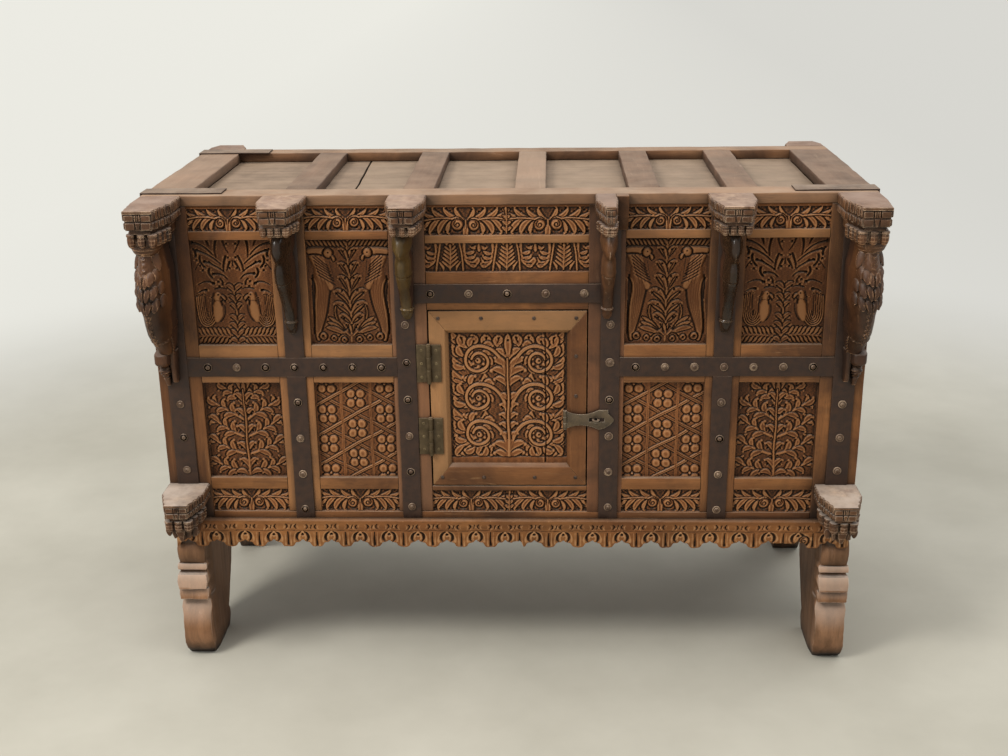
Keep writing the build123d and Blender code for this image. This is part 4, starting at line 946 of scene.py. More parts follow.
def add_parrot(bm, centre, half, foot):
    """The worn parrot of an inner bracket: round head, hooked beak, full breast and long folded wings."""
    top = STRAP_TOP
    drop = top - foot
    reach = [(share * drop, out) for share, out in (
        (0.0, 90.0), (0.05, 99.0), (0.12, 104.0), (0.18, 101.0), (0.235, 91.0), (0.27, 85.0), (0.33, 91.0),
        (0.41, 86.0), (0.50, 73.0), (0.58, 59.0), (0.68, 43.0), (0.78, 30.0), (0.90, 20.0), (0.97, 14.0), (1.0, 5.0),
    )]
    wide = [(share * drop, half * out) for share, out in (
        (0.0, 0.80), (0.05, 1.16), (0.12, 1.28), (0.18, 1.14), (0.245, 0.80), (0.32, 1.06), (0.48, 1.06), (0.70, 0.92),
        (0.93, 0.76), (1.0, 0.4),
    )]

    def cut(across, ahead, down):
        share = down / drop
        beak = 7.0 * rise(across, 0.0, 4.2) * rise(share, 0.215, 0.05)
        eyes = -2.0 * rise(np.abs(across), half * 0.78, 2.8) * rise(share, 0.11, 0.02)
        collar = -1.8 * rise(down, 0.46 * drop, 1.5) + 1.1 * rise(down, 0.46 * drop - 4.0, 2.4)
        wings = -1.3 * rise(np.abs(across), half * 0.30, 1.2) * (share > 0.48) * (share < 0.84)
        tulip = 2.2 * rise(down, 0.885 * drop, 2.6) - 1.2 * rise(down, 0.86 * drop, 2.0)
        curls = 0.9 * np.sin(down * 0.42 + np.abs(across) * 0.7) * (share > 0.90) * (share < 0.99)
        return beak + eyes + collar + wings + tulip + curls

    Bird(centre, top, foot, reach, wide).add(bm, 36, 74, cut)


CORNER_X = 641.0
CORNER_FOOT = 664.0
CORNER_REACH = (
    (0.0, 84.0), (8.0, 85.0), (12.0, 99.0), (21.0, 101.0), (26.0, 92.0), (32.0, 89.0), (55.0, 97.0), (95.0, 104.0),
    (135.0, 102.0), (165.0, 96.0), (190.0, 84.0), (210.0, 64.0), (226.0, 48.0), (239.0, 36.0),
)
CORNER_WIDE = (
    (0.0, 17.0), (8.0, 18.0), (12.0, 23.0), (22.0, 23.0), (28.0, 19.5), (56.0, 24.0), (70.0, 27.0), (130.0, 27.5),
    (152.0, 23.0), (190.0, 22.0), (222.0, 18.0), (239.0, 13.0),
)
TAIL_REACH = (
    (0.0, 30.0), (4.0, 41.0), (20.0, 44.0), (25.0, 40.0), (29.0, 28.0), (34.0, 22.0), (38.0, 30.0), (46.0, 27.0),
    (51.0, 17.0), (60.0, 13.0), (74.0, 6.0),
)
TAIL_WIDE = ((0.0, 13.0), (4.0, 16.0), (22.0, 15.0), (29.0, 10.0), (38.0, 11.0), (51.0, 7.5), (74.0, 4.0))


def add_corner_bird(bm, side):
    """The full-breasted bird of a corner bracket: a cup, a plaited cord, leaves in tiers, breast and hooked foot."""
    centre = side * CORNER_X
    bird = Bird(centre, STRAP_TOP, CORNER_FOOT, CORNER_REACH, CORNER_WIDE, 2.6)
    front = -90.0 + side * 8.0

    def cut(across, ahead, down):
        back = 1.0 - ahead / 100.0
        line = 222.0 - 46.0 * np.clip(back, 0.0, 1.0) ** 1.2
        band = 1.5 * rise(down, line, 1.8) - 1.3 * rise(down, line - 4.6, 1.9) - 1.0 * rise(down, line + 4.6, 1.8)
        cord = (3.2 + 1.5 * np.sin(down * 0.62 + np.abs(across - side * 3.0) * 0.55)) * rise(across, side * 3.0, 7.5)
        seam = -1.6 * rise(np.abs(across + side * 12.0), 0.0, 1.6) * (down > 28.0) * (down < 90.0)
        return band + cord * (down > 27.0) * (down < 86.0) + seam

    bird.add(bm, 56, 110, cut)

    def leaf_on(angle, z, length, width, thick, droop, swing):
        """A leaf rooted on the skin and following it down; swing turns its tip aside."""
        turn = math.radians(angle)
        root, low = [Vector((*map(float, bird.at(turn, level)), level)) for level in (z, z - length * 0.8)]
        outward = Vector((math.cos(turn), math.sin(turn), 0.0))
        aim = low - root + outward.cross(Vector((0, 0, 1))) * swing
        add_leaf(bm, root * mm, aim, outward, length, width, thick, droop)

    # the flared cup, then two broad ears beside the plaited cord
    add_turned(bm, ((centre + side * 2.0) * mm, (STRAP_Y - 72.0) * mm, 893.0 * mm), (0, 0, -1),
               ((0.0, 25.0), (0.8, 28.6), (5.5, 29.4), (7.5, 27.0), (14.0, 26.0), (21.0, 23.0), (28.0, 17.0)), 20)
    for lean in (-1, 1):
        leaf_on(front + lean * 44.0, 872.0, 34.0, 17.0, 4.0, 2.0, -lean * 5.0)
    # three tiers of leaves that stand away from the breast, then the small pairs that run down it
    for z, spread in ((836.0, 50.0), (812.0, 62.0), (788.0, 64.0)):
        for lean in (-1, 1):
            leaf_on(front + lean * spread, z + 7.0, 25.0, 19.0, 7.4, 6.0, lean * 12.0)
            leaf_on(front + lean * spread * 0.58, z + 3.0, 27.0, 18.0, 9.0, 7.0, lean * 9.0)
            leaf_on(front + lean * 12.0, z - 1.0, 26.0, 14.0, 9.0, 6.0, lean * 5.0)
    for step in range(8):
        z = 768.0 - step * 10.0
        for lean in (-1, 1):
            leaf_on(front + lean * 8.0, z, 14.5 - step * 0.4, 8.0 - step * 0.3, 3.2, 2.0, lean * 6.5)
    # small feathers along the foot of the breast, on its inner side
    for step in range(5):
        leaf_on(-90.0 - side * 66.0, 700.0 - step * 7.0, 11.0, 7.0, 2.6, 2.0, side * 3.0)

    def curled(across, ahead, down):
        return 1.2 * np.sin(down * 0.9 + across * 0.3) * (down > 34.0) * (down < 60.0)

    top = CORNER_FOOT + 3.0
    Bird(side * 649.0, top, 593.0, TAIL_REACH, TAIL_WIDE, 1.4, 0.55).add(bm, 26, 64, curled)
    plank = ((0.0, 26.0), (30.0, 24.0), (60.0, 16.0), (80.0, 8.0))
    narrow = ((0.0, 9.0), (80.0, 5.0))
    Bird(side * 633.0, top, 602.0, plank, narrow).add(bm, 20, 24, lambda across, ahead, down: 0.0 * down)


def hang_bracket(node, slab, fat, carve, *finish_names):
    """One bracket of three finishes: its capital, its carved bird, and the plain sides of its plank in a darker copy
    of the wood, painted shade.
    """
    bm = bmesh.new()
    build_capital(bm, slab, fat=fat)
    wear_down(bm, 0.5)
    carve(bm)
    bmesh.ops.recalc_face_normals(bm, faces=bm.faces)
    for face in bm.faces:
        carved = face.calc_center_median().z < STRAP_TOP * mm - 0.5 * mm
        # the plank's flat sides take the darker finish that paints their shade
        plank = abs(face.normal.x) > 0.86 and face.calc_center_median().y > (STRAP_Y - 45.0) * mm
        face.material_index = 0 if not carved else 2 if plank else 1
    mesh = bake_mesh(f"{node}_worn", bm)
    for finish in finish_names:
        mesh.materials.append(finishes[finish])
    link_piece(f"{node}_worn", mesh, None, "chest", [node])


MUNTIN_BIRD = (404.0, 14.0, 697.0)  # where its middle is, half its width, and its foot
JAMB_BIRDS = {"left": (-186.0, 14.0, 724.0), "right": (185.0, 12.5, 724.0)}


def hang_brackets():
    """Every capital with what it carries, each standing for its node."""
    for side_name, side in SIDES.items():
        node = f"corner_bracket_{side_name}"
        hang_bracket(node, Slab(top_plans(node)[0], tall=1.2), 1.16, lambda bm: add_corner_bird(bm, side),
                     "bracket_teak", "bird_teak", "shaded_plank_teak")
        node = f"muntin_bracket_{side_name}"
        centre, half, foot = MUNTIN_BIRD
        hang_bracket(node, Slab(top_plans(node)[0]), 1.0, lambda bm: add_parrot(bm, side * centre, half, foot),
                     "bracket_teak", "blackened_teak", "shaded_plank_teak")
    for side_name, trim, finish in (("left", 1.0, "olive_teak"), ("right", 0.35, "bracket_teak")):
        node = f"jamb_bracket_{side_name}"
        hang_bracket(node, Slab(top_plans(node)[0], trim=trim), 1.0,
                     lambda bm: add_parrot(bm, *JAMB_BIRDS[side_name]), "bracket_teak", finish, "shaded_plank_teak")
    for node, toward, fat, finish, add_root in (
        ("corner_corbels", -1, 1.32, "corbel_teak", add_corbel_root),
        ("rear_capitals", 1, 1.0, "bracket_teak", add_capital_root),
    ):
        bm = bmesh.new()
        slabs = [Slab(plan, toward) for plan in top_plans(node)]
        for slab in slabs:
            build_capital(bm, slab, fat=fat)
        wear_down(bm, 0.5)
        for slab in slabs:
            add_root(bm, slab)
        link_piece(f"{node}_worn", bake_mesh(f"{node}_worn", bm), finishes[finish], "chest", [node])


def add_corbel_root(bm, slab):
    """The stepped root of a corbel and the short leaves that hang round it, over the leg's knee."""
    stack_tiers(bm, slab, (
        (BELL_FOOT - 2.0, 15.0), (BELL_FOOT + 8.0, 16.0), (BELL_FOOT + 20.0, 19.0), (BELL_FOOT + 32.0, 24.0),
    ))
    for step in range(5):
        off = (step - 2.0) * 12.6
        length = 27.0 - 3.0 * abs(step - 2.0)
        spot = Vector((slab.middle_x + off, slab.nose_y + 24.0 + abs(off) * 0.22, slab.top - BELL_FOOT - 3.0)) * mm
        add_leaf(bm, spot, (0.0, 0.10, -1.0), (0.0, -1.0, 0.0), length, 14.5, 5.0, 1.0)
    for side in (-1, 1):
        for step in range(4):
            y = slab.nose_y + 30.0 + step * 13.0
            x = slab.edge_x(y, side, 17.0)
            add_leaf(bm, Vector((x, y, slab.top - BELL_FOOT - 3.0)) * mm, (-0.12 * side, 0.0, -1.0), (side, 0.0, 0.0),
                     26.0 + 3.0 * step, 14.0, 5.0, 1.0)


def add_capital_root(bm, slab):
    """The plain root that carries a rear capital."""
    stack_tiers(bm, slab, (
        (BELL_FOOT - 2.0, 15.0), (BELL_FOOT + 20.0, 20.0), (BELL_FOOT + 44.0, 25.0), (BELL_FOOT + 63.0, 27.0),
    ))


# ---------------------------------------------------------------- carver's tools
GROUND_DROP = 4.6 * mm  # the sunk ground behind the panel's own face
TONGUE = 5.0 * mm  # what stands in the grooves all round
PANEL_PITCH = 1.05 * mm
FULLNESS = 1.45  # how far the leaves spread
CUT_WIDTH = 1.5  # the dark cut left round each leaf


def sweep_line(*points, count=12):
    """A smooth line steered by two to four points, in millimetres."""
    t = np.linspace(0.0, 1.0, count)[:, None]
    level = [np.asarray(point, float)[None, :].repeat(count, 0) for point in points]
    while len(level) > 1:
        level = [(1 - t) * a + t * b for a, b in zip(level, level[1:])]
    return level[0]


def spiral_line(centre, radius, start, turns, tightness=0.18, count=30):
    """A line that winds inward; a negative number of turns winds the other way."""
    share = np.linspace(0.0, 1.0, count)
    angle = math.radians(start) + share * turns * 2 * math.pi
    reach = radius * (tightness ** share)
    return np.stack([centre[0] + reach * np.cos(angle), centre[1] + reach * np.sin(angle)], 1)


class Carving:
    """Heights over one panel in millimetres above its sunk ground; u runs across, v up from the sill.

    both carves every stroke on the two sides of the panel's middle line.
    """

    def __init__(self, u, v, width, height, seed=0.0):
        self.u = u + 0.7 * np.sin(v / 13.0 + seed) + 0.4 * np.sin(u / 9.0 + 2.1 * seed)
        self.v = v + 0.7 * np.sin(u / 15.0 + 1.7 + seed) + 0.3 * np.sin(v / 8.0 + seed)
        self.width = width
        self.height = height
        self.relief = 0.35 * np.sin(u * 0.9 + 3 * np.sin(v * 0.35)) * np.sin(v * 0.8 + 2 * np.sin(u * 0.3))
        self.mirrors = (1,)
        self.both = copy.copy(self)
        self.both.mirrors = (1, -1)

    def fill(self, level):
        """Lifts the whole field, so that leaves part from each other by cuts and not by open ground."""
        self.relief += level

    def lines(self, path, widths, reach):
        """The line on each side that is carved: the spots near it, its share and place there, and its widths."""
        widths = np.asarray(widths, float)
        widths = np.linspace(*widths, len(path)) if widths.shape == (2,) else np.broadcast_to(widths, (len(path),))
        margin = widths.max() + reach + 0.5
        for side in self.mirrors:
            line = path * np.array([side, 1.0])
            low, high = line.min(0) - margin, line.max(0) + margin
            inside = (self.u > low[0]) & (self.u < high[0]) & (self.v > low[1]) & (self.v < high[1])
            picked = np.nonzero(inside)[0]
            yield picked, *self.distance(line, widths, picked), widths

    def distance(self, path, widths, picked):
        """Distance from the line as a share of its half width there, and how far along it lies."""
        u, v = self.u[picked], self.v[picked]
        best = np.full(len(picked), 9.0)
        along = np.zeros(len(picked))
        steps = len(path) - 1
        for index in range(steps):
            start, run = path[index], path[index + 1] - path[index]
            length = max(float(run @ run), 1e-9)
            t = np.clip(((u - start[0]) * run[0] + (v - start[1]) * run[1]) / length, 0.0, 1.0)
            off = np.hypot(u - start[0] - t * run[0], v - start[1] - t * run[1])
            share = off / (widths[index] + t * (widths[index + 1] - widths[index]))
            closer = share < best
            best[closer] = share[closer]
            along[closer] = (index + t[closer]) / steps
        return best, along

    def raise_line(self, path, widths, crown, scoop=0.0, outline=0.0):
        """A rounded ridge; a scoop hollows its middle, and an outline sets it off from what lies beside it."""
        for picked, share, along, widths in self.lines(path, widths, outline):
            beyond = (share - 1.0) * np.interp(along, np.linspace(0, 1, len(widths)), widths)
            rooted = (along < 0.16) & (len(path) > 2)
            ring = picked[(beyond >= 0.0) & (beyond < outline) & ~rooted]
            self.relief[ring] = np.minimum(self.relief[ring], 0.2)
            inside = share < 1.0
            rounded = np.sqrt(np.clip(1.0 - share[inside] ** 2.6, 0.0, 1.0))
            hollow = 1.0 - scoop * (1.0 - np.clip(share[inside] / 0.62, 0.0, 1.0) ** 2)
            spot = picked[inside]
            fresh = crown * rounded * hollow
            merged = (outline == 0.0) | rooted[inside]
            self.relief[spot] = np.where(merged, np.maximum(self.relief[spot], fresh), fresh)

    def cut_line(self, path, widths, depth):
        """A V-shaped cut down from whatever stands there."""
        for picked, share, _, _ in self.lines(path, widths, 0.0):
            inside = share < 1.0
            self.relief[picked[inside]] -= depth * (1.0 - share[inside] ** 1.5)

    def ridge(self, points, widths, crown, count=12, scoop=0.0, outline=0.0):
        self.raise_line(sweep_line(*points, count=count), widths, crown, scoop, outline)

    def slit(self, points, widths, depth, count=12):
        self.cut_line(sweep_line(*points, count=count), widths, depth)

    def dome(self, centre, radius, crown, dish=0.0, outline=0.0):
        spot = np.array([centre, centre], float) + [[-0.01, 0], [0.01, 0]]
        self.raise_line(spot, radius, crown, dish, outline)

    def gouge(self, points, width):
        """A cut that widens along its way and ends in a drilled eye."""
        self.slit(points, (0.9, width), 5.0)
        self.eye(points[-1], width * 1.15, 5.0)

    def eye(self, centre, radius=1.7, depth=4.0):
        """A drilled eye that goes below the ground."""
        for side in self.mirrors:
            share = np.hypot(self.u - side * centre[0], self.v - centre[1]) / radius
            inside = share < 1.0
            self.relief[inside] = np.minimum(self.relief[inside], 1.2 - depth * (1.0 - share[inside] ** 3))

    def leaf(self, base, tip, bend, width, crown=5.6, scoop=0.28):
        """One lobe from base to tip; bend is the sideways bow as a share of its length."""
        base, tip = np.asarray(base, float), np.asarray(tip, float)
        run = tip - base
        steer = base + run * 0.55 + np.array([-run[1], run[0]]) * bend
        path = sweep_line(base, steer, tip, count=10)
        t = np.linspace(0.0, 1.0, len(path))
        widths = FULLNESS * width * (0.24 + 0.76 * np.sin(np.pi * t ** 1.25) ** 0.8)
        self.raise_line(path, widths, crown, scoop, CUT_WIDTH)

    def curl(self, base, tip, bend, width, crown=5.6):
        """A lobe that curls over at its tip around a drilled eye."""
        self.leaf(base, tip, bend, width, crown)
        base, tip = np.asarray(base, float), np.asarray(tip, float)
        run = (tip - base) / max(np.linalg.norm(tip - base), 1e-6)
        inward = np.array([run[1], -run[0]]) * (1 if bend > 0 else -1)
        knob = tip + inward * width * 0.75
        self.dome(knob, width * 0.78, crown * 0.92, 0.1)
        self.eye(knob - run * width * 1.35 + inward * 0.2, max(1.25, width * 0.36), 4.0)

    def frond(self, base, angle, length, sweep, lobes, width, crown=5.6):
        """An acanthus spray: a bent stem with a curling lobe at every step and one at its end."""
        spots = [np.asarray(base, float)]
        headings = [math.radians(angle + sweep * (step / lobes) ** 1.2) for step in range(lobes + 1)]
        for heading in headings:
            spots.append(spots[-1] + np.array([math.cos(heading), math.sin(heading)]) * length / (lobes + 1))
        self.raise_line(np.array(spots), (width * 0.62, width * 0.35), crown * 0.92)
        for step in range(1, lobes + 1):
            shrink = 1.0 - 0.35 * step / lobes
            for side in (1, -1):
                out = headings[step] + side * math.radians(46)
                tip = spots[step] + np.array([math.cos(out), math.sin(out)]) * length * 0.34 * shrink
                self.curl(spots[step], tip, -0.28 * side, width * 0.82 * shrink, crown)
        self.curl(spots[-2], spots[-1], 0.25 if sweep > 0 else -0.25, width * 0.75, crown)


def carved_mesh(name, low, high, design, seed=0.0, edge=None, pitch=PANEL_PITCH):
    """One carved board filling a seat from low to high, its face toward the front.

    Its rim is held flat in the frame's grooves, unless edge gives the rise of a free lower edge.
    """
    face, depth = low.y, high.y - low.y
    columns = round((high.x - low.x) / pitch)
    rows = round((high.z - low.z) / pitch)
    tongue = TONGUE if edge is None else 0.0
    bm = bmesh.new()
    bmesh.ops.create_grid(bm, x_segments=columns, y_segments=rows, size=0.5)
    bmesh.ops.scale(bm, vec=(high.x - low.x, high.z - low.z, 1.0), verts=bm.verts)
    bmesh.ops.rotate(bm, cent=(0, 0, 0), matrix=Matrix.Rotation(math.radians(90), 3, "X"), verts=bm.verts)
    bmesh.ops.translate(bm, vec=((low.x + high.x) / 2, face, (low.z + high.z) / 2), verts=bm.verts)
    rim = [edge for edge in bm.edges if edge.is_boundary]
    drawn = bmesh.ops.extrude_edge_only(bm, edges=rim)["geom"]
    back = [item for item in drawn if isinstance(item, bmesh.types.BMVert)]
    bmesh.ops.translate(bm, vec=(0, depth, 0), verts=back)
    bmesh.ops.holes_fill(bm, edges=[edge for edge in bm.edges if edge.is_boundary], sides=0)
    mesh = bake_mesh(name, bm, crease=180.0)

    spots = np.zeros(len(mesh.vertices) * 3)
    mesh.vertices.foreach_get("co", spots)
    spots = spots.reshape(-1, 3)
    front = np.nonzero(spots[:, 1] < face + depth / 2)[0]
    order = np.lexsort((spots[front, 0].round(6), spots[front, 2].round(6)))
    front = front[order]
    if edge is not None:
        spots[:, 2] = high.z - (high.z - spots[:, 2]) * (1.0 - edge(spots[:, 0]) / (high.z - low.z))
    u = (spots[front, 0] - (low.x + high.x) / 2) / mm
    v = (spots[front, 2] - low.z - tongue) / mm
    width = (high.x - low.x - 2 * tongue) / mm
    height = (high.z - low.z - 2 * tongue) / mm
    carving = Carving(u, v, width, height, seed)
    design(carving)
    seated = (np.abs(u) > width / 2 - 0.2) | (v < 0.2) | (v > height - 0.2)
    relief = np.where(seated & (edge is None), GROUND_DROP / mm - 0.3, carving.relief)
    field = relief.reshape(rows + 1, columns + 1)
    smoothed = field.copy()
    for shift in (2, 4):
        for axis in (0, 1):
            smoothed = (smoothed * 2 + np.roll(field, shift, axis) + np.roll(field, -shift, axis)) / 4
    # openness runs low in the cuts and hollows and high on the tops; the carved finishes turn it into dirt and painted
    # shade below, and wear and a painted highlight above
    openness = (0.12 * field + 0.30 * (field - smoothed)).ravel() + 0.18
    spots[front, 1] = face + GROUND_DROP - relief * mm
    mesh.vertices.foreach_set("co", spots.ravel())
    carved = np.full(len(spots), 0.4)
    carved[front] = np.clip(openness, 0.0, 1.0)
    mesh.attributes.new("carved", "FLOAT", "POINT").data.foreach_set("value", carved)
    mesh.update()
    return mesh


def carve_node(node, finish, designs, seeds):
    """Replaces a node of one or more boards by carved ones, in the order of solid_boxes."""
    joined = bmesh.new()
    for index, (low, high) in enumerate(solid_boxes(node)):
        part = carved_mesh(f"{node}_board", low, high, designs[index % len(designs)], seeds[index % len(seeds)])
        joined.from_mesh(part)
        bpy.data.meshes.remove(part)
    mesh = bpy.data.meshes.new(f"{node}_carved")
    joined.to_mesh(mesh)
    joined.free()
    body = frame["nodes"][node]["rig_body"]
    return link_piece(f"{node}_carved", mesh, finishes[finish], body, [node])


# ---------------------------------------------------------------- the carver's patterns
def draw_lattice(c):
    """Six-sided lattice of grooved strips with a four-petalled flower in every cell."""
    c.fill(2.7)
    spacing = 56.0
    rise = 62.0
    first = 37.0
    lean = math.tan(math.radians(30))
    for step in range(-4, 9):
        middle = first + rise / 2 + (step - 3) * rise
        for slope, crown in ((-lean, 4.0), (lean, 5.0)):
            path = sweep_line((-110, middle - slope * 110), (110, middle + slope * 110), count=3)
            c.raise_line(path, 3.6, crown, outline=0.9)
            c.cut_line(path, 1.0, 2.0)
    for x in (-spacing / 2, spacing / 2):
        path = sweep_line((x, -10), (x, 230), count=3)
        c.raise_line(path, 3.6, 4.4)
        c.cut_line(path, 1.0, 1.6)
    for column in (-1, 0, 1):
        for row in range(-1, 5):
            v = first + (row - (0.5 if column else 0.0)) * rise
            for across in (-1, 1):
                for up in (-1, 1):
                    c.dome((column * spacing + across * 9.2, v + up * 9.6), 9.8, 5.6, 0.10, outline=1.0)
            c.dome((column * spacing, v), 2.8, 6.2)
    border = 2.2
    for x in (-c.width / 2, c.width / 2):
        c.ridge(((x, 0), (x, c.height)), border, 3.6, 2)


def draw_peacocks(c):
    """Two peacocks with looped tails beside a leafy plant, under a palmette of broad lobes."""
    both = c.both
    c.fill(3.5)
    # the palmette: broad lobes at one level, parted by tapering cuts that end in drilled eyes
    for line in (
        ((18, 141), (34, 155), (52, 160)),
        ((22, 156), (40, 174), (65, 181)),
        ((35, 173), (50, 193), (74, 197)),
        ((13, 127), (20, 139), (38, 136)),
    ):
        both.gouge(line, 2.7)
    for line in (
        ((27, 206), (33, 190), (30, 168)),
        ((12, 171), (19, 157), (19, 141)),
        ((5, 161), (10, 151), (13, 143)),
        ((47, 206), (44, 198), (42, 190)),
    ):
        both.slit(line, (2.6, 1.0), 4.8)
    for line in (
        ((71, 184), (66, 176), (68, 170)), ((60, 170), (64, 161), (53, 149)), ((45, 146), (49, 138), (41, 129)),
    ):
        both.slit(line, 2.3, 5.0)
    for line in (
        ((6, 178), (14, 190), (16, 204)), ((24, 148), (34, 150), (44, 160)), ((14, 108), (22, 112), (36, 108)),
    ):
        both.slit(line, (0.8, 2.0), 4.0)
    c.slit(((0, 163), (0, 153)), 1.3, 4.5, 3)
    for spot in ((7.5, 169), (9, 195), (7, 148), (67, 163), (57.5, 143), (28, 113), (30, 122), (62, 152)):
        both.eye(spot, 2.1, 5.0)
    for line in (((39, 118), (50, 126), (68, 116)), ((53, 105), (63, 106), (71, 98))):
        both.gouge(line[::-1], 2.6)
    both.slit(((26, 127), (21, 124), (22, 116)), 1.6, 4.5)
    both.slit(((62, 158), (68, 152), (72, 145)), 1.0, 3.0)
    # the plant between the birds
    c.ridge(((0, 2), (2, 60), (-1, 112)), (2.6, 1.8), 5.0, 16, outline=1.5)
    for v, reach, size in ((116, 15, 3.6), (96, 11, 3.2), (80, 11, 3.0), (57, 13, 3.2), (41, 14, 3.2), (27, 15, 3.2)):
        both.curl((1, v - 13), (reach, v), 0.35, size, 4.8)
    # the birds: neck, breast and head over the looped tail
    for ring in range(5):
        reach = 4.2 + ring * 4.0
        low = (55, 54 - reach)
        left = sweep_line((55 - reach, 86 - ring * 5), (55 - reach, 56), (55 - reach * 0.5, 54 - reach), low)
        right = sweep_line(low, (55 + reach, 54 - reach), (55 + reach * 0.98, 62), (55 + reach * 0.9, 95 - ring))
        both.raise_line(np.concatenate([left, right[1:]]), 1.9, 4.4 + 0.35 * ring, outline=0.7)
    for spot in ((44, 90), (56, 97), (68, 97)):
        both.dome(spot, 3.8, 5.4, 0.2)
        both.eye(spot, 1.3, 3.2)
    body = sweep_line((38, 47), (35, 60), (33, 76), (34, 92), count=16)
    both.raise_line(body, np.interp(np.linspace(0, 1, 16), (0, 0.3, 0.55, 0.8, 1), (6, 11.5, 11, 6.5, 6)), 6.9)
    both.dome((31.5, 96), 7.4, 6.9)
    both.leaf((27, 96), (19, 87), -0.24, 2.2, 6.4, 0.0)
    both.slit(((20, 83), (25, 90), (28, 84), (26, 76)), 1.4, 4.2, 10)
    both.slit(((40, 100), (43, 88), (46, 78), (45, 60)), 0.9, 3.2, 12)
    both.slit(((22, 76), (20, 64), (24, 52), (31, 44)), 0.9, 3.0, 12)
    both.eye((30.5, 97), 1.4, 1.6)
    both.slit(((27, 84), (34, 87), (42, 83)), 0.9, 1.8, 8)
    # the border of slanted leaves
    both.ridge(((6, 13), (40, 18), (76, 14)), 1.7, 4.8, 8)
    for step in range(8):
        u = 14 + step * 7.9
        both.leaf((u, 17), (u + 8, 31), 0.10, 2.5, 5.4, 0.2)
        both.leaf((u - 2, 13), (u + 8, 1), -0.12, 2.5, 5.4, 0.2)
    both.curl((2, 2), (14, 9), 0.5, 3.6, 5.2)


def draw_parrots(c):
    """Two tall parrots with ribbed tails, a leafy stem between them and curling leaves at its foot."""
    both = c.both
    c.fill(3.2)
    for step in range(10):
        u = 5 + step * 7.6
        both.leaf((u - 5, 188), (u + 4, 200), 0.12, 2.3, 5.0, 0.2)
    both.slit(((10, 187), (40, 190), (76, 187)), 1.2, 4.0, 8)
    # the stem and its lobes
    c.ridge(((0, 4), (1, 100), (-1, 196)), (3.0, 1.6), 5.0, 20)
    for v, reach, rise, size in (
        (20, 9, 21, 2.6), (40, 20, 18, 4.4), (56, 28, 25, 5.4), (78, 27, 28, 5.2), (102, 18, 31, 4.6),
        (132, 16, 27, 4.2), (162, 15, 24, 3.8),
    ):
        both.curl((1.5, v), (reach, v + rise), 0.24, size, 5.4)
        both.slit(((2.6, v + 1), (6, v + rise * 0.5), (reach - 3, v + rise * 0.84)), 1.2, 3.6, 10)
    for v in (30, 50, 76, 104, 128, 154, 180):
        both.eye((8 if v > 110 or v < 40 else 14, v), 1.9, 4.5)
    # the birds: long ribbed tail, hatched wing, flat crown and round head
    tail = sweep_line((52, 158), (56, 118), (44, 90), (68, 40), (63, 8), count=24)
    widths = np.interp(np.linspace(0, 1, 24), (0, 0.3, 0.6, 0.85, 1), (15, 17, 13, 7.5, 4))
    both.raise_line(tail, widths, 5.2, outline=1.6)
    for shift in (-9.0, -4.5, 0.0, 4.5, 9.0):
        low = (66 + shift * 0.3, 18)
        vein = sweep_line((56 + shift, 118), (52 + shift, 92), (54 + shift * 0.7, 62), low, count=16)
        both.cut_line(vein, 0.8, 0.9)
    both.slit(((71, 126), (62, 118), (64, 92), (72, 60), (71, 18)), 1.6, 4.5, 16)
    wing = sweep_line((62, 170), (52, 142), (36, 112), count=10)
    both.raise_line(wing, np.linspace(13, 8, 10), 5.8)
    for row in range(7):
        shift = row * 7.5
        both.slit(((66 - row * 1.5, 176 - shift * 0.95), (40 - row * 2.0, 152 - shift * 0.8)), 1.2, 2.4, 5)
    for row in range(5):
        both.slit(((36 + row * 6.5, 166 - row * 2), (30 + row * 5.0, 122 - row * 1.5)), 0.8, 1.2, 5)
    both.ridge(((38, 178), (56, 182), (72, 179)), (8.5, 6.5), 5.8, 8, outline=1.4)
    both.dome((37, 176), 9.4, 6.6, outline=1.6)
    both.leaf((31, 172), (27, 162), -0.3, 2.4, 6.2, 0.0)
    both.dome((36.5, 177.5), 4.6, 6.8, 0.45)
    both.eye((36.5, 177.5), 1.2, 1.6)
    # the curling leaves at the foot
    both.ridge(((3, 16), (22, 34), (36, 54), (28, 74)), (1.9, 1.4), 5.8, 14, outline=1.3)
    for tip, size in (((43, 52), 2.9), ((46, 42), 3.2), ((48, 31), 3.8)):
        both.leaf((10, 17), tip, 0.16, size, 5.4, 0.25)
    for centre, radius in (((54, 14), 7.6), ((34, 11), 6.2), ((14, 8), 6.4)):
        both.dome(centre, radius, 5.6, 0.0, outline=1.5)
        both.cut_line(spiral_line(centre, radius * 0.55, 200, 0.8, 0.6, 12), 1.1, 2.4)
        both.eye(centre, radius * 0.3, 5.0)
    both.gouge(((7, 17), (18, 23), (25, 13)), 1.5)


def draw_tree(c):
    """A leafy tree: five pairs of acanthus sprays on one stem, with curls beside it at every fork."""
    both = c.both
    c.fill(2.6)
    for v, angle, length, sweep in (
        (148, 54, 66, -24), (116, 36, 82, -8), (80, 28, 82, 12), (44, 20, 82, 20), (8, 10, 80, 24),
    ):
        both.frond((1, v), angle, length, sweep, 3, 6.0, 5.6)
    for v in (16, 50, 86, 120, 152):
        both.curl((1, v), (15, v + 20), 0.34, 4.0, 6.0)
        both.eye((12, v + 8), 2.3, 5.0)
        both.eye((7, v - 6), 1.9, 5.0)
    both.curl((2, 0), (26, 8), 0.45, 4.0, 5.6)
    for tip, bend in (((-14, 197), -0.2), ((14, 197), 0.2), ((0, 198), 0.0)):
        c.leaf((0, 166), tip, bend, 3.4, 5.8)
    c.ridge(((1, 2), (-2, 70), (2, 130), (-1, 180)), (3.0, 1.6), 5.8, 20, outline=1.0)
    c.eye((5, 127), 3.0, 7.0)


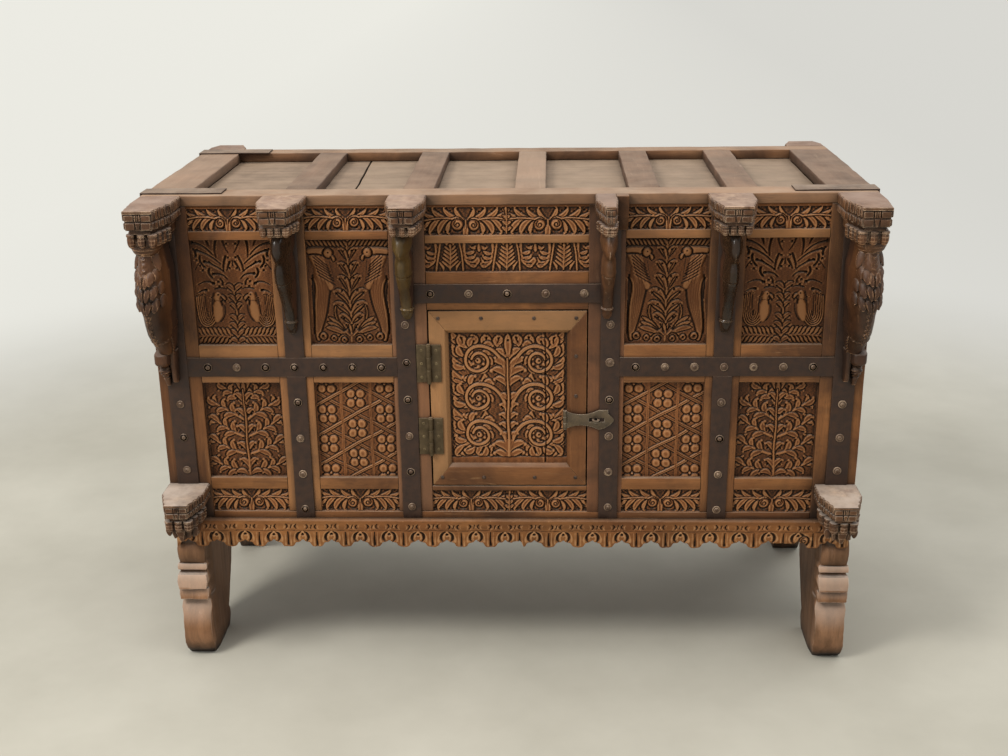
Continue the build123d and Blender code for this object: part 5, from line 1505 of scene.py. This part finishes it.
def draw_spray(c, centre, half, top):
    """Half of the frieze's motif: an inner scroll, leaves that fall to the sill and leaves that rise."""
    scale = top / 48.0

    def at(u, v):
        return (centre + side * u * half / 75.0, v * scale)

    for side in (1, -1):
        for base, tip, bend, size in (
            ((40, 29), (76, 39), 0.22, 3.0), ((30, 29), (60, 46), 0.30, 3.4), ((12, 30), (38, 46), 0.34, 3.2),
            ((3, 26), (17, 46), 0.24, 3.0), ((44, 28), (76, 12), -0.26, 3.6), ((37, 29), (66, 2), -0.34, 4.2),
            ((28, 28), (49, 1), -0.36, 4.4), ((24, 24), (32, 1), -0.30, 3.2),
        ):
            c.curl(at(*base), at(*tip), bend * side * -1, size * scale * 0.92, 5.4)
        c.ridge((at(3, 0), at(3, 18), at(6, 34), at(24, 27)), 2.4, 5.2, 12, outline=1.2)
        c.ridge((at(22, 27), at(45, 32), at(74, 26)), 1.8, 5.2, 10, outline=1.0)
        c.dome(at(15, 17), 10.5 * scale, 5.0, outline=1.2)
        disc = spiral_line(at(15, 17), 6.6 * scale, 60 if side > 0 else 120, -1.25 * side, 0.3, 26)
        c.cut_line(disc, 1.5, 3.6)
        for spot in ((26, 41), (48, 40), (66, 43)):
            c.eye(at(*spot), 1.7, 5.0)
        for spot in (36, 57, 71):
            c.eye(at(spot, 4.0), 1.9, 5.0)
        c.slit((at(10, 6), at(15, 2), at(21, 6)), 1.4, 4.0, 6)
    c.ridge(((centre, 0), (centre, top * 0.52)), 1.6, 4.8, 4)


def draw_side_frieze(c):
    c.fill(1.6)
    draw_spray(c, 0.0, c.width / 2, c.height)


def draw_fern(c, centre, foot, top, pairs, reach):
    """A small upright plant of paired leaves."""
    for pair in range(pairs):
        v = foot + (top - foot) * (pair + 0.25) / pairs
        length = reach * (1.0 - 0.5 * pair / pairs)
        for side in (1, -1):
            c.leaf((centre, v), (centre + side * length, v + length * 0.95), 0.18 * side, 2.3, 5.2, 0.3)
    c.leaf((centre, top - 8), (centre, top), 0.0, 2.2, 5.2)
    c.ridge(((centre, foot), (centre, top)), 1.5, 5.2, 4)


def draw_double_spray(c):
    c.fill(1.6)
    for side in (-1, 1):
        draw_spray(c, side * c.width / 4, c.width / 4, c.height)
    draw_fern(c, 0.0, 1.0, c.height - 1, 4, 9.0)


def draw_fern_waves(c):
    """Upright ferns with pairs of facing lobed leaves that hang between them."""
    c.fill(1.8)
    for middle in (-157.0, -52.0, 52.0, 157.0):
        def at(u, v):
            return (middle + side * u, v * c.height / 54.0)
        for side in (1, -1):
            hook = sweep_line(at(26, 52), at(33, 18), at(10, 4), at(3, 20), count=14)
            c.raise_line(hook, np.linspace(3.2, 6.4, 14), 5.4, 0.25, outline=1.2)
            for base, tip in (((25, 34), (9, 38)), ((24, 25), (7, 28)), ((18, 13), (4, 11))):
                c.curl(at(*base), at(*tip), 0.3 * side, 2.7, 5.2)
            c.curl(at(2, 51), at(14, 44), -0.4 * side, 2.6, 5.0)
            c.eye(at(12, 20), 1.9, 5.0)
        c.leaf((middle, c.height - 1), (middle, c.height - 17), 0.0, 2.6, 5.2)
    for centre in (-105.0, 0.0, 105.0):
        for side in (1, -1):
            high = (centre + side * 18, c.height - 1)
            stem = sweep_line(high, (centre + side * 23, 26), (centre + side * 25, 1), count=8)
            c.raise_line(stem, 2.2, 5.0, outline=1.2)
            c.leaf((centre + side * 12, 1), (centre + side * 20, 17), 0.3 * side, 2.3, 5.0)
        draw_fern(c, centre, 2.0, c.height - 2, 6, 16.0)


def draw_door_scrolls(c):
    """Three pairs of leafy scrolls on a central stem, with lobes along both sides and a plain sill."""
    both = c.both
    c.fill(2.1)
    edge = c.width / 2

    def around(centre, radius, turn):
        turn = math.radians(turn)
        return np.asarray(centre, float) + radius * np.array([math.cos(turn), math.sin(turn)])

    for v in range(26, 262, 26):
        both.curl((edge - 38, v - 14), (edge - 7, v + 7), -0.42, 5.2, 5.2)
        both.curl((edge - 26, v - 16), (edge - 6, v - 9), -0.20, 3.0, 4.8)
    for tip in (18, 42, 66, 90):
        both.curl((tip * 0.86 - 4, 234), (tip + 4, 257), -0.34, 4.8, 5.4)
        both.curl((tip * 0.9 + 4, 240), (tip - 6, 258), 0.34, 3.2, 5.2)
    for tip in (103, 82, 60, 38):
        both.curl((tip * 0.84, 36), (tip, 16), 0.26, 4.6, 5.4)
    for v, reach, size in (
        (14, 26, 5.2), (32, 28, 5.8), (166, 24, 4.8), (184, 30, 5.6), (203, 32, 5.8), (222, 24, 5.0),
    ):
        both.curl((1, v - 10), (reach, v + 8), 0.40, size, 5.8)
    for v in (62, 82, 102, 122, 142):
        both.curl((1, v - 16), (14, v), 0.38, 4.2, 6.0)
        both.eye((11.5, v - 9), 2.3, 5.5)
    for v, radius, leave in ((208, 29, 158), (132, 29, 86), (57, 28, 14)):
        centre = (57, v)
        for turn, length in ((70, 20), (15, 20), (-45, 20), (-105, 19), (-165, 17), (150, 15)):
            spot = around(centre, radius * 0.9, turn)
            both.curl(spot, around(spot, length, turn - 146), 0.36, 4.6, 5.0)
        for turn, length in ((112, 17), (62, 20), (20, 22), (-24, 22), (-70, 20), (-115, 19)):
            spot = around(centre, radius, turn)
            both.curl(spot, around(spot, length, turn + 42), -0.40, 4.8, 5.4)
        bend = (57 - radius * 1.15, v + radius * 1.12)
        stem = sweep_line((1, leave), (2, leave + 46), bend, (57, v + radius), count=16)
        coil = spiral_line(centre, radius, 90, -1.2, 0.46, 34)
        path = np.concatenate([stem[:-1], coil])
        both.raise_line(path, np.linspace(4.0, 2.8, len(path)), 6.0, 0.22, outline=1.4)
        both.dome(centre, 6.2, 5.8, 0.15, outline=1.2)
        both.eye(around(centre, 2.0, 40), 1.9)
    c.leaf((0, 214), (1, 262), 0.0, 5.6, 6.0, 0.3)
    c.eye((1, 250), 2.4)
    sill = 12.0
    c.ridge(((1, sill), (-2, 90), (2, 160), (-2, 214)), (3.8, 2.0), 6.2, 24, outline=1.0)
    c.relief[c.v < sill] = 3.4 + 0.2 * np.sin(c.u[c.v < sill] * 0.4)
    c.slit(((-edge, sill), (edge, sill)), 1.4, 2.5, 2)
    c.slit(((71, -6), (70.4, c.height + 6)), 1.0, 6.0, 3)


# ---------------------------------------------------------------- apron, straps, nails and the rest of the dressing
LOBE_PITCH = 57.3  # from one hanging lobe of the apron to the next
LOBE_SHIFT = -9.2  # where the middle notch stands
MARK_PITCH = 40.3  # from one incised motif of the apron's band to the next
APRON_PITCH = 1.35 * mm
LAST_COIL = (576.0, 21.0)  # the one coil at the apron's right end
APRON_END = 662.0  # how far out the apron runs on over the posts
APRON_EDGE = (
    (0.0, 6.0), (0.10, 6.2), (0.16, 7.2), (0.20, 9.2), (0.225, 12.2), (0.25, 14.4), (0.28, 15.6), (0.33, 16.0),
    (0.38, 16.7), (0.43, 18.2), (0.47, 20.2), (0.5, 22.0),
)


def apron_edge(x):
    """How far the apron's lower edge stands above its sill, with two lobes broken off."""
    x = x / mm
    step = (x - LOBE_SHIFT) / LOBE_PITCH
    rise = np.interp(np.abs(step - np.floor(step) - 0.5), *zip(*APRON_EDGE))
    lost = np.interp(np.abs(x - 14.0), (0.0, 9.0, 15.0), (20.0, 17.0, 0.0))
    lost = np.maximum(lost, np.interp(np.abs(x - 541.0), (0.0, 24.0, 30.0), (16.0, 17.0, 0.0)))
    return (np.maximum(rise, lost) + 0.6 * np.sin(x * 0.31) * np.sin(x * 0.11)) * mm


def draw_apron(c, middle=0.0):
    """Slits down the lobes, crescents round a bud over every notch, and a band of incised marks.

    middle is where the board's own middle stands along the whole apron.
    """
    def places(pitch, shift):
        first = math.floor((middle - c.width / 2 - shift) / pitch)
        count = math.ceil(c.width / pitch) + 2
        return [(first + index) * pitch + shift - middle for index in range(count)]

    c.relief[:] = 4.2 + 0.25 * np.sin(c.u * 0.23) * np.sin(c.v * 0.31 + c.u * 0.05)
    band_foot = 40.5
    c.slit(((-c.width / 2, band_foot), (c.width / 2, band_foot)), 1.0, 1.2, 3)
    for notch in places(LOBE_PITCH, LOBE_SHIFT):
        lobe = notch + LOBE_PITCH / 2
        c.slit(((lobe - 0.4, 37), (lobe + 0.6, 9.5)), (0.8, 2.2), 4.8, 4)
        for side in (-1, 1):
            turn = np.radians(np.linspace(70, -44, 12))
            arc = np.stack([notch + side * 12.0 * np.cos(turn), 26.0 + 12.0 * np.sin(turn)], 1)
            c.cut_line(arc, 0.9 + 2.4 * np.sin(np.linspace(0.2, np.pi, 12)), 4.6)
        c.eye((notch, 32.5), 2.7, 5.0)
    for mark in places(MARK_PITCH, 10.0):
        for side in (-1, 1):
            bracket = ((mark + side * 10.0, 54.5), (mark + side * 4.6, 49.5), (mark + side * 10.0, 44.5))
            c.slit(bracket, (0.6, 1.2, 1.7, 1.9, 1.7, 1.2, 0.6), 3.8, 7)
        c.slit(((mark + 1.0, 53), (mark - 1.0, 46)), 1.1, 2.8, 3)
    if middle == 0.0:
        c.dome(LAST_COIL, 9.5, 4.6, 0.0, outline=1.8)
        c.cut_line(spiral_line(LAST_COIL, 6.0, 90, 1.2, 0.3, 20), 1.4, 3.5)


def carve_apron():
    """The apron itself, then the two short lengths of it that run on over the corner posts."""
    low, high = solid_boxes("apron")[0]
    mesh = carved_mesh("apron_carved", low, high, draw_apron, 0.6, edge=apron_edge, pitch=APRON_PITCH)
    link_piece("apron_carved", mesh, finishes["apron_teak"], "chest", ["apron"])
    for side_name, side in SIDES.items():
        ends = sorted((side * high.x, side * APRON_END * mm))
        middle = sum(ends) / 2 / mm
        start, end = Vector((ends[0], low.y, low.z)), Vector((ends[1], high.y, high.z))
        mesh = carved_mesh(f"apron_end_{side_name}", start, end, lambda c: draw_apron(c, middle), 0.6,
                           edge=apron_edge, pitch=APRON_PITCH)
        link_piece(f"apron_end_{side_name}", mesh, finishes["apron_teak"], "chest")


STUD = (
    (0.0, 8.0), (0.9, 8.1), (1.7, 7.4), (1.9, 6.6), (1.1, 5.5), (0.7, 4.6), (2.4, 4.2), (3.7, 2.8), (4.3, 0.9),
)
NAIL = ((0.0, 3.6), (0.9, 3.4), (1.5, 2.2), (1.8, 0.8))
SCREW = ((0.0, 2.7), (0.5, 2.5), (0.55, 1.6), (0.2, 1.2))
FRONTWARD = (0.0, -1.0, 0.0)


def set_studs():
    """A domed nail in a ring washer wherever a strap is nailed."""
    bm = bmesh.new()
    for low, high in solid_boxes("studs"):
        x, z = (low.x + high.x) / 2, (low.z + high.z) / 2
        size = 1.0 + 0.12 * noise.noise(Vector((x, z, 0.4)) * 37.0)
        stud = [(advance, radius * size) for advance, radius in STUD]
        add_turned(bm, (x, STRAP_Y * mm, z), FRONTWARD, stud, 18)
    link_piece("studs_worn", bake_mesh("studs_worn", bm), finishes["stud_iron"], "chest", ["studs"])


def drive_nails(name, spots, face_y, body, profile, finish):
    """Small nail heads, or screws, at places (x, z) on a face toward the front."""
    bm = bmesh.new()
    for x, z in spots:
        add_turned(bm, (x, face_y, z), FRONTWARD, profile, 12)
    link_piece(name, bake_mesh(name, bm), finishes[finish], body)


def set_nails():
    """The door's nails, then the hinges' screws."""
    low, high = map(Vector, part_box("door_stiles"))
    inset = 20.0 * mm
    across = [low.x + inset * 0.9, (low.x * 2 + high.x) / 3, (low.x + high.x * 2) / 3, high.x - inset]
    spots = [(x, z) for z in (high.z - inset * 0.7, low.z + inset * 0.8) for x in across]
    spots += [(high.x - inset, (low.z + high.z) / 2 + lift * mm) for lift in (88.0, 8.0)]
    drive_nails("door_nails", spots, low.y, "door", NAIL, "nail_iron")
    for leaf, body in (("hinge_leaves_fixed", "chest"), ("hinge_leaves_door", "door")):
        spots = []
        for low, high in solid_boxes(leaf):
            plate = low.x + 9.0 * mm if body == "chest" else high.x - 9.0 * mm
            spots += [(plate, low.z + share * (high.z - low.z)) for share in (0.14, 0.5, 0.86)]
        drive_nails(f"{leaf}_screws", spots, FRONT_Y * mm - 2.5 * mm, body, SCREW, "hinge_iron")


def dress_frames():
    """Every sawn member gets rubbed arrises and an uneven face."""
    for node in ("front_post_left", "front_post_right", "muntins"):
        dress(node, "stile_teak", 1.8, 0.9)
    for node in ("jamb_left", "jamb_right"):
        dress(node, "jamb_teak", 1.8, 0.9)
    for node in ("front_rails", "centre_rails", "lintel", "bottom_rail"):
        dress(node, "rail_teak", 1.5, 0.8)
    dress("door_stiles", "door_stile_teak", 1.6, 0.7)
    dress("door_rails", "door_rail_teak", 1.6, 0.7)
    dress("top_front_rail", "top_rail_wood", 2.2, 1.2)
    dress("top_back_rail", "top_rail_wood", 2.2, 1.2)
    dress("top_end_rails", "top_slat_wood", 2.2, 1.2)
    dress("top_slats", "top_slat_wood", 2.4, 1.4)
    dress("top_boards", "top_board_wood", 1.0, 1.2, 40.0, prepare=split_board)
    for side_name, side in SIDES.items():
        dress(f"front_leg_{side_name}", "leg_teak", 1.6, 1.2, 16.0, lambda bm: shape_leg(bm, side), leg_tones)
    dress("back_legs", "leg_teak", 2.6, 1.5, 22.0)
    for node in ("side_frame_left", "side_frame_right", "back_posts", "side_panels"):
        dress(node, "carcase_post", 1.6, 0.8, 40.0)
    for node in ("back_rails", "floor_bearers"):
        dress(node, "carcase_wood", 1.6, 0.8, 40.0)
    for node in ("upright_straps", "cross_straps", "corner_straps"):
        dress(node, "strap_iron", 0.7, 0.9, 18.0)
    for node in ("hinge_leaves_fixed", "hinge_leaves_door"):
        dress(node, "hinge_iron", 0.5, 0.25, 18.0)
    dress("hasp_plate", "hasp_bronze", 0.7, 0.2, 18.0)
    dress("bracket_patch", "stile_teak", 1.4, 0.8, 12.0)


def carve_all():
    for index, side in enumerate(SIDES):
        # the upper panels take the darker carved teak, painted shade under the top's overhang; the lattice takes the
        # warmer one
        for kind, finish, design, seed in (
            ("peacock", "carved_teak", draw_peacocks, 0.3), ("parrot", "carved_teak", draw_parrots, 1.1),
            ("tree", "carved_teak", draw_tree, 2.2), ("lattice", "warm_carved_teak", draw_lattice, 3.1),
        ):
            carve_node(f"{kind}_panel_{side}", finish, [design], [seed + index])
    carve_node("upper_friezes", "frieze_teak", [draw_side_frieze], (0.2, 1.4, 2.9, 4.1))
    carve_node("lower_friezes", "frieze_teak", [draw_side_frieze], (1.8, 0.7, 3.6, 2.4))
    designs = [draw_double_spray, draw_fern_waves, draw_double_spray]
    carve_node("centre_friezes", "frieze_teak", designs, (0.5, 1.9, 3.3))
    carve_node("door_panel", "warm_carved_teak", [draw_door_scrolls], [0.9])


set_camera()
set_floor()
set_world()
set_lights()
finish_nodes()
carve_all()
carve_apron()
dress_frames()
set_studs()
set_nails()
hang_brackets()
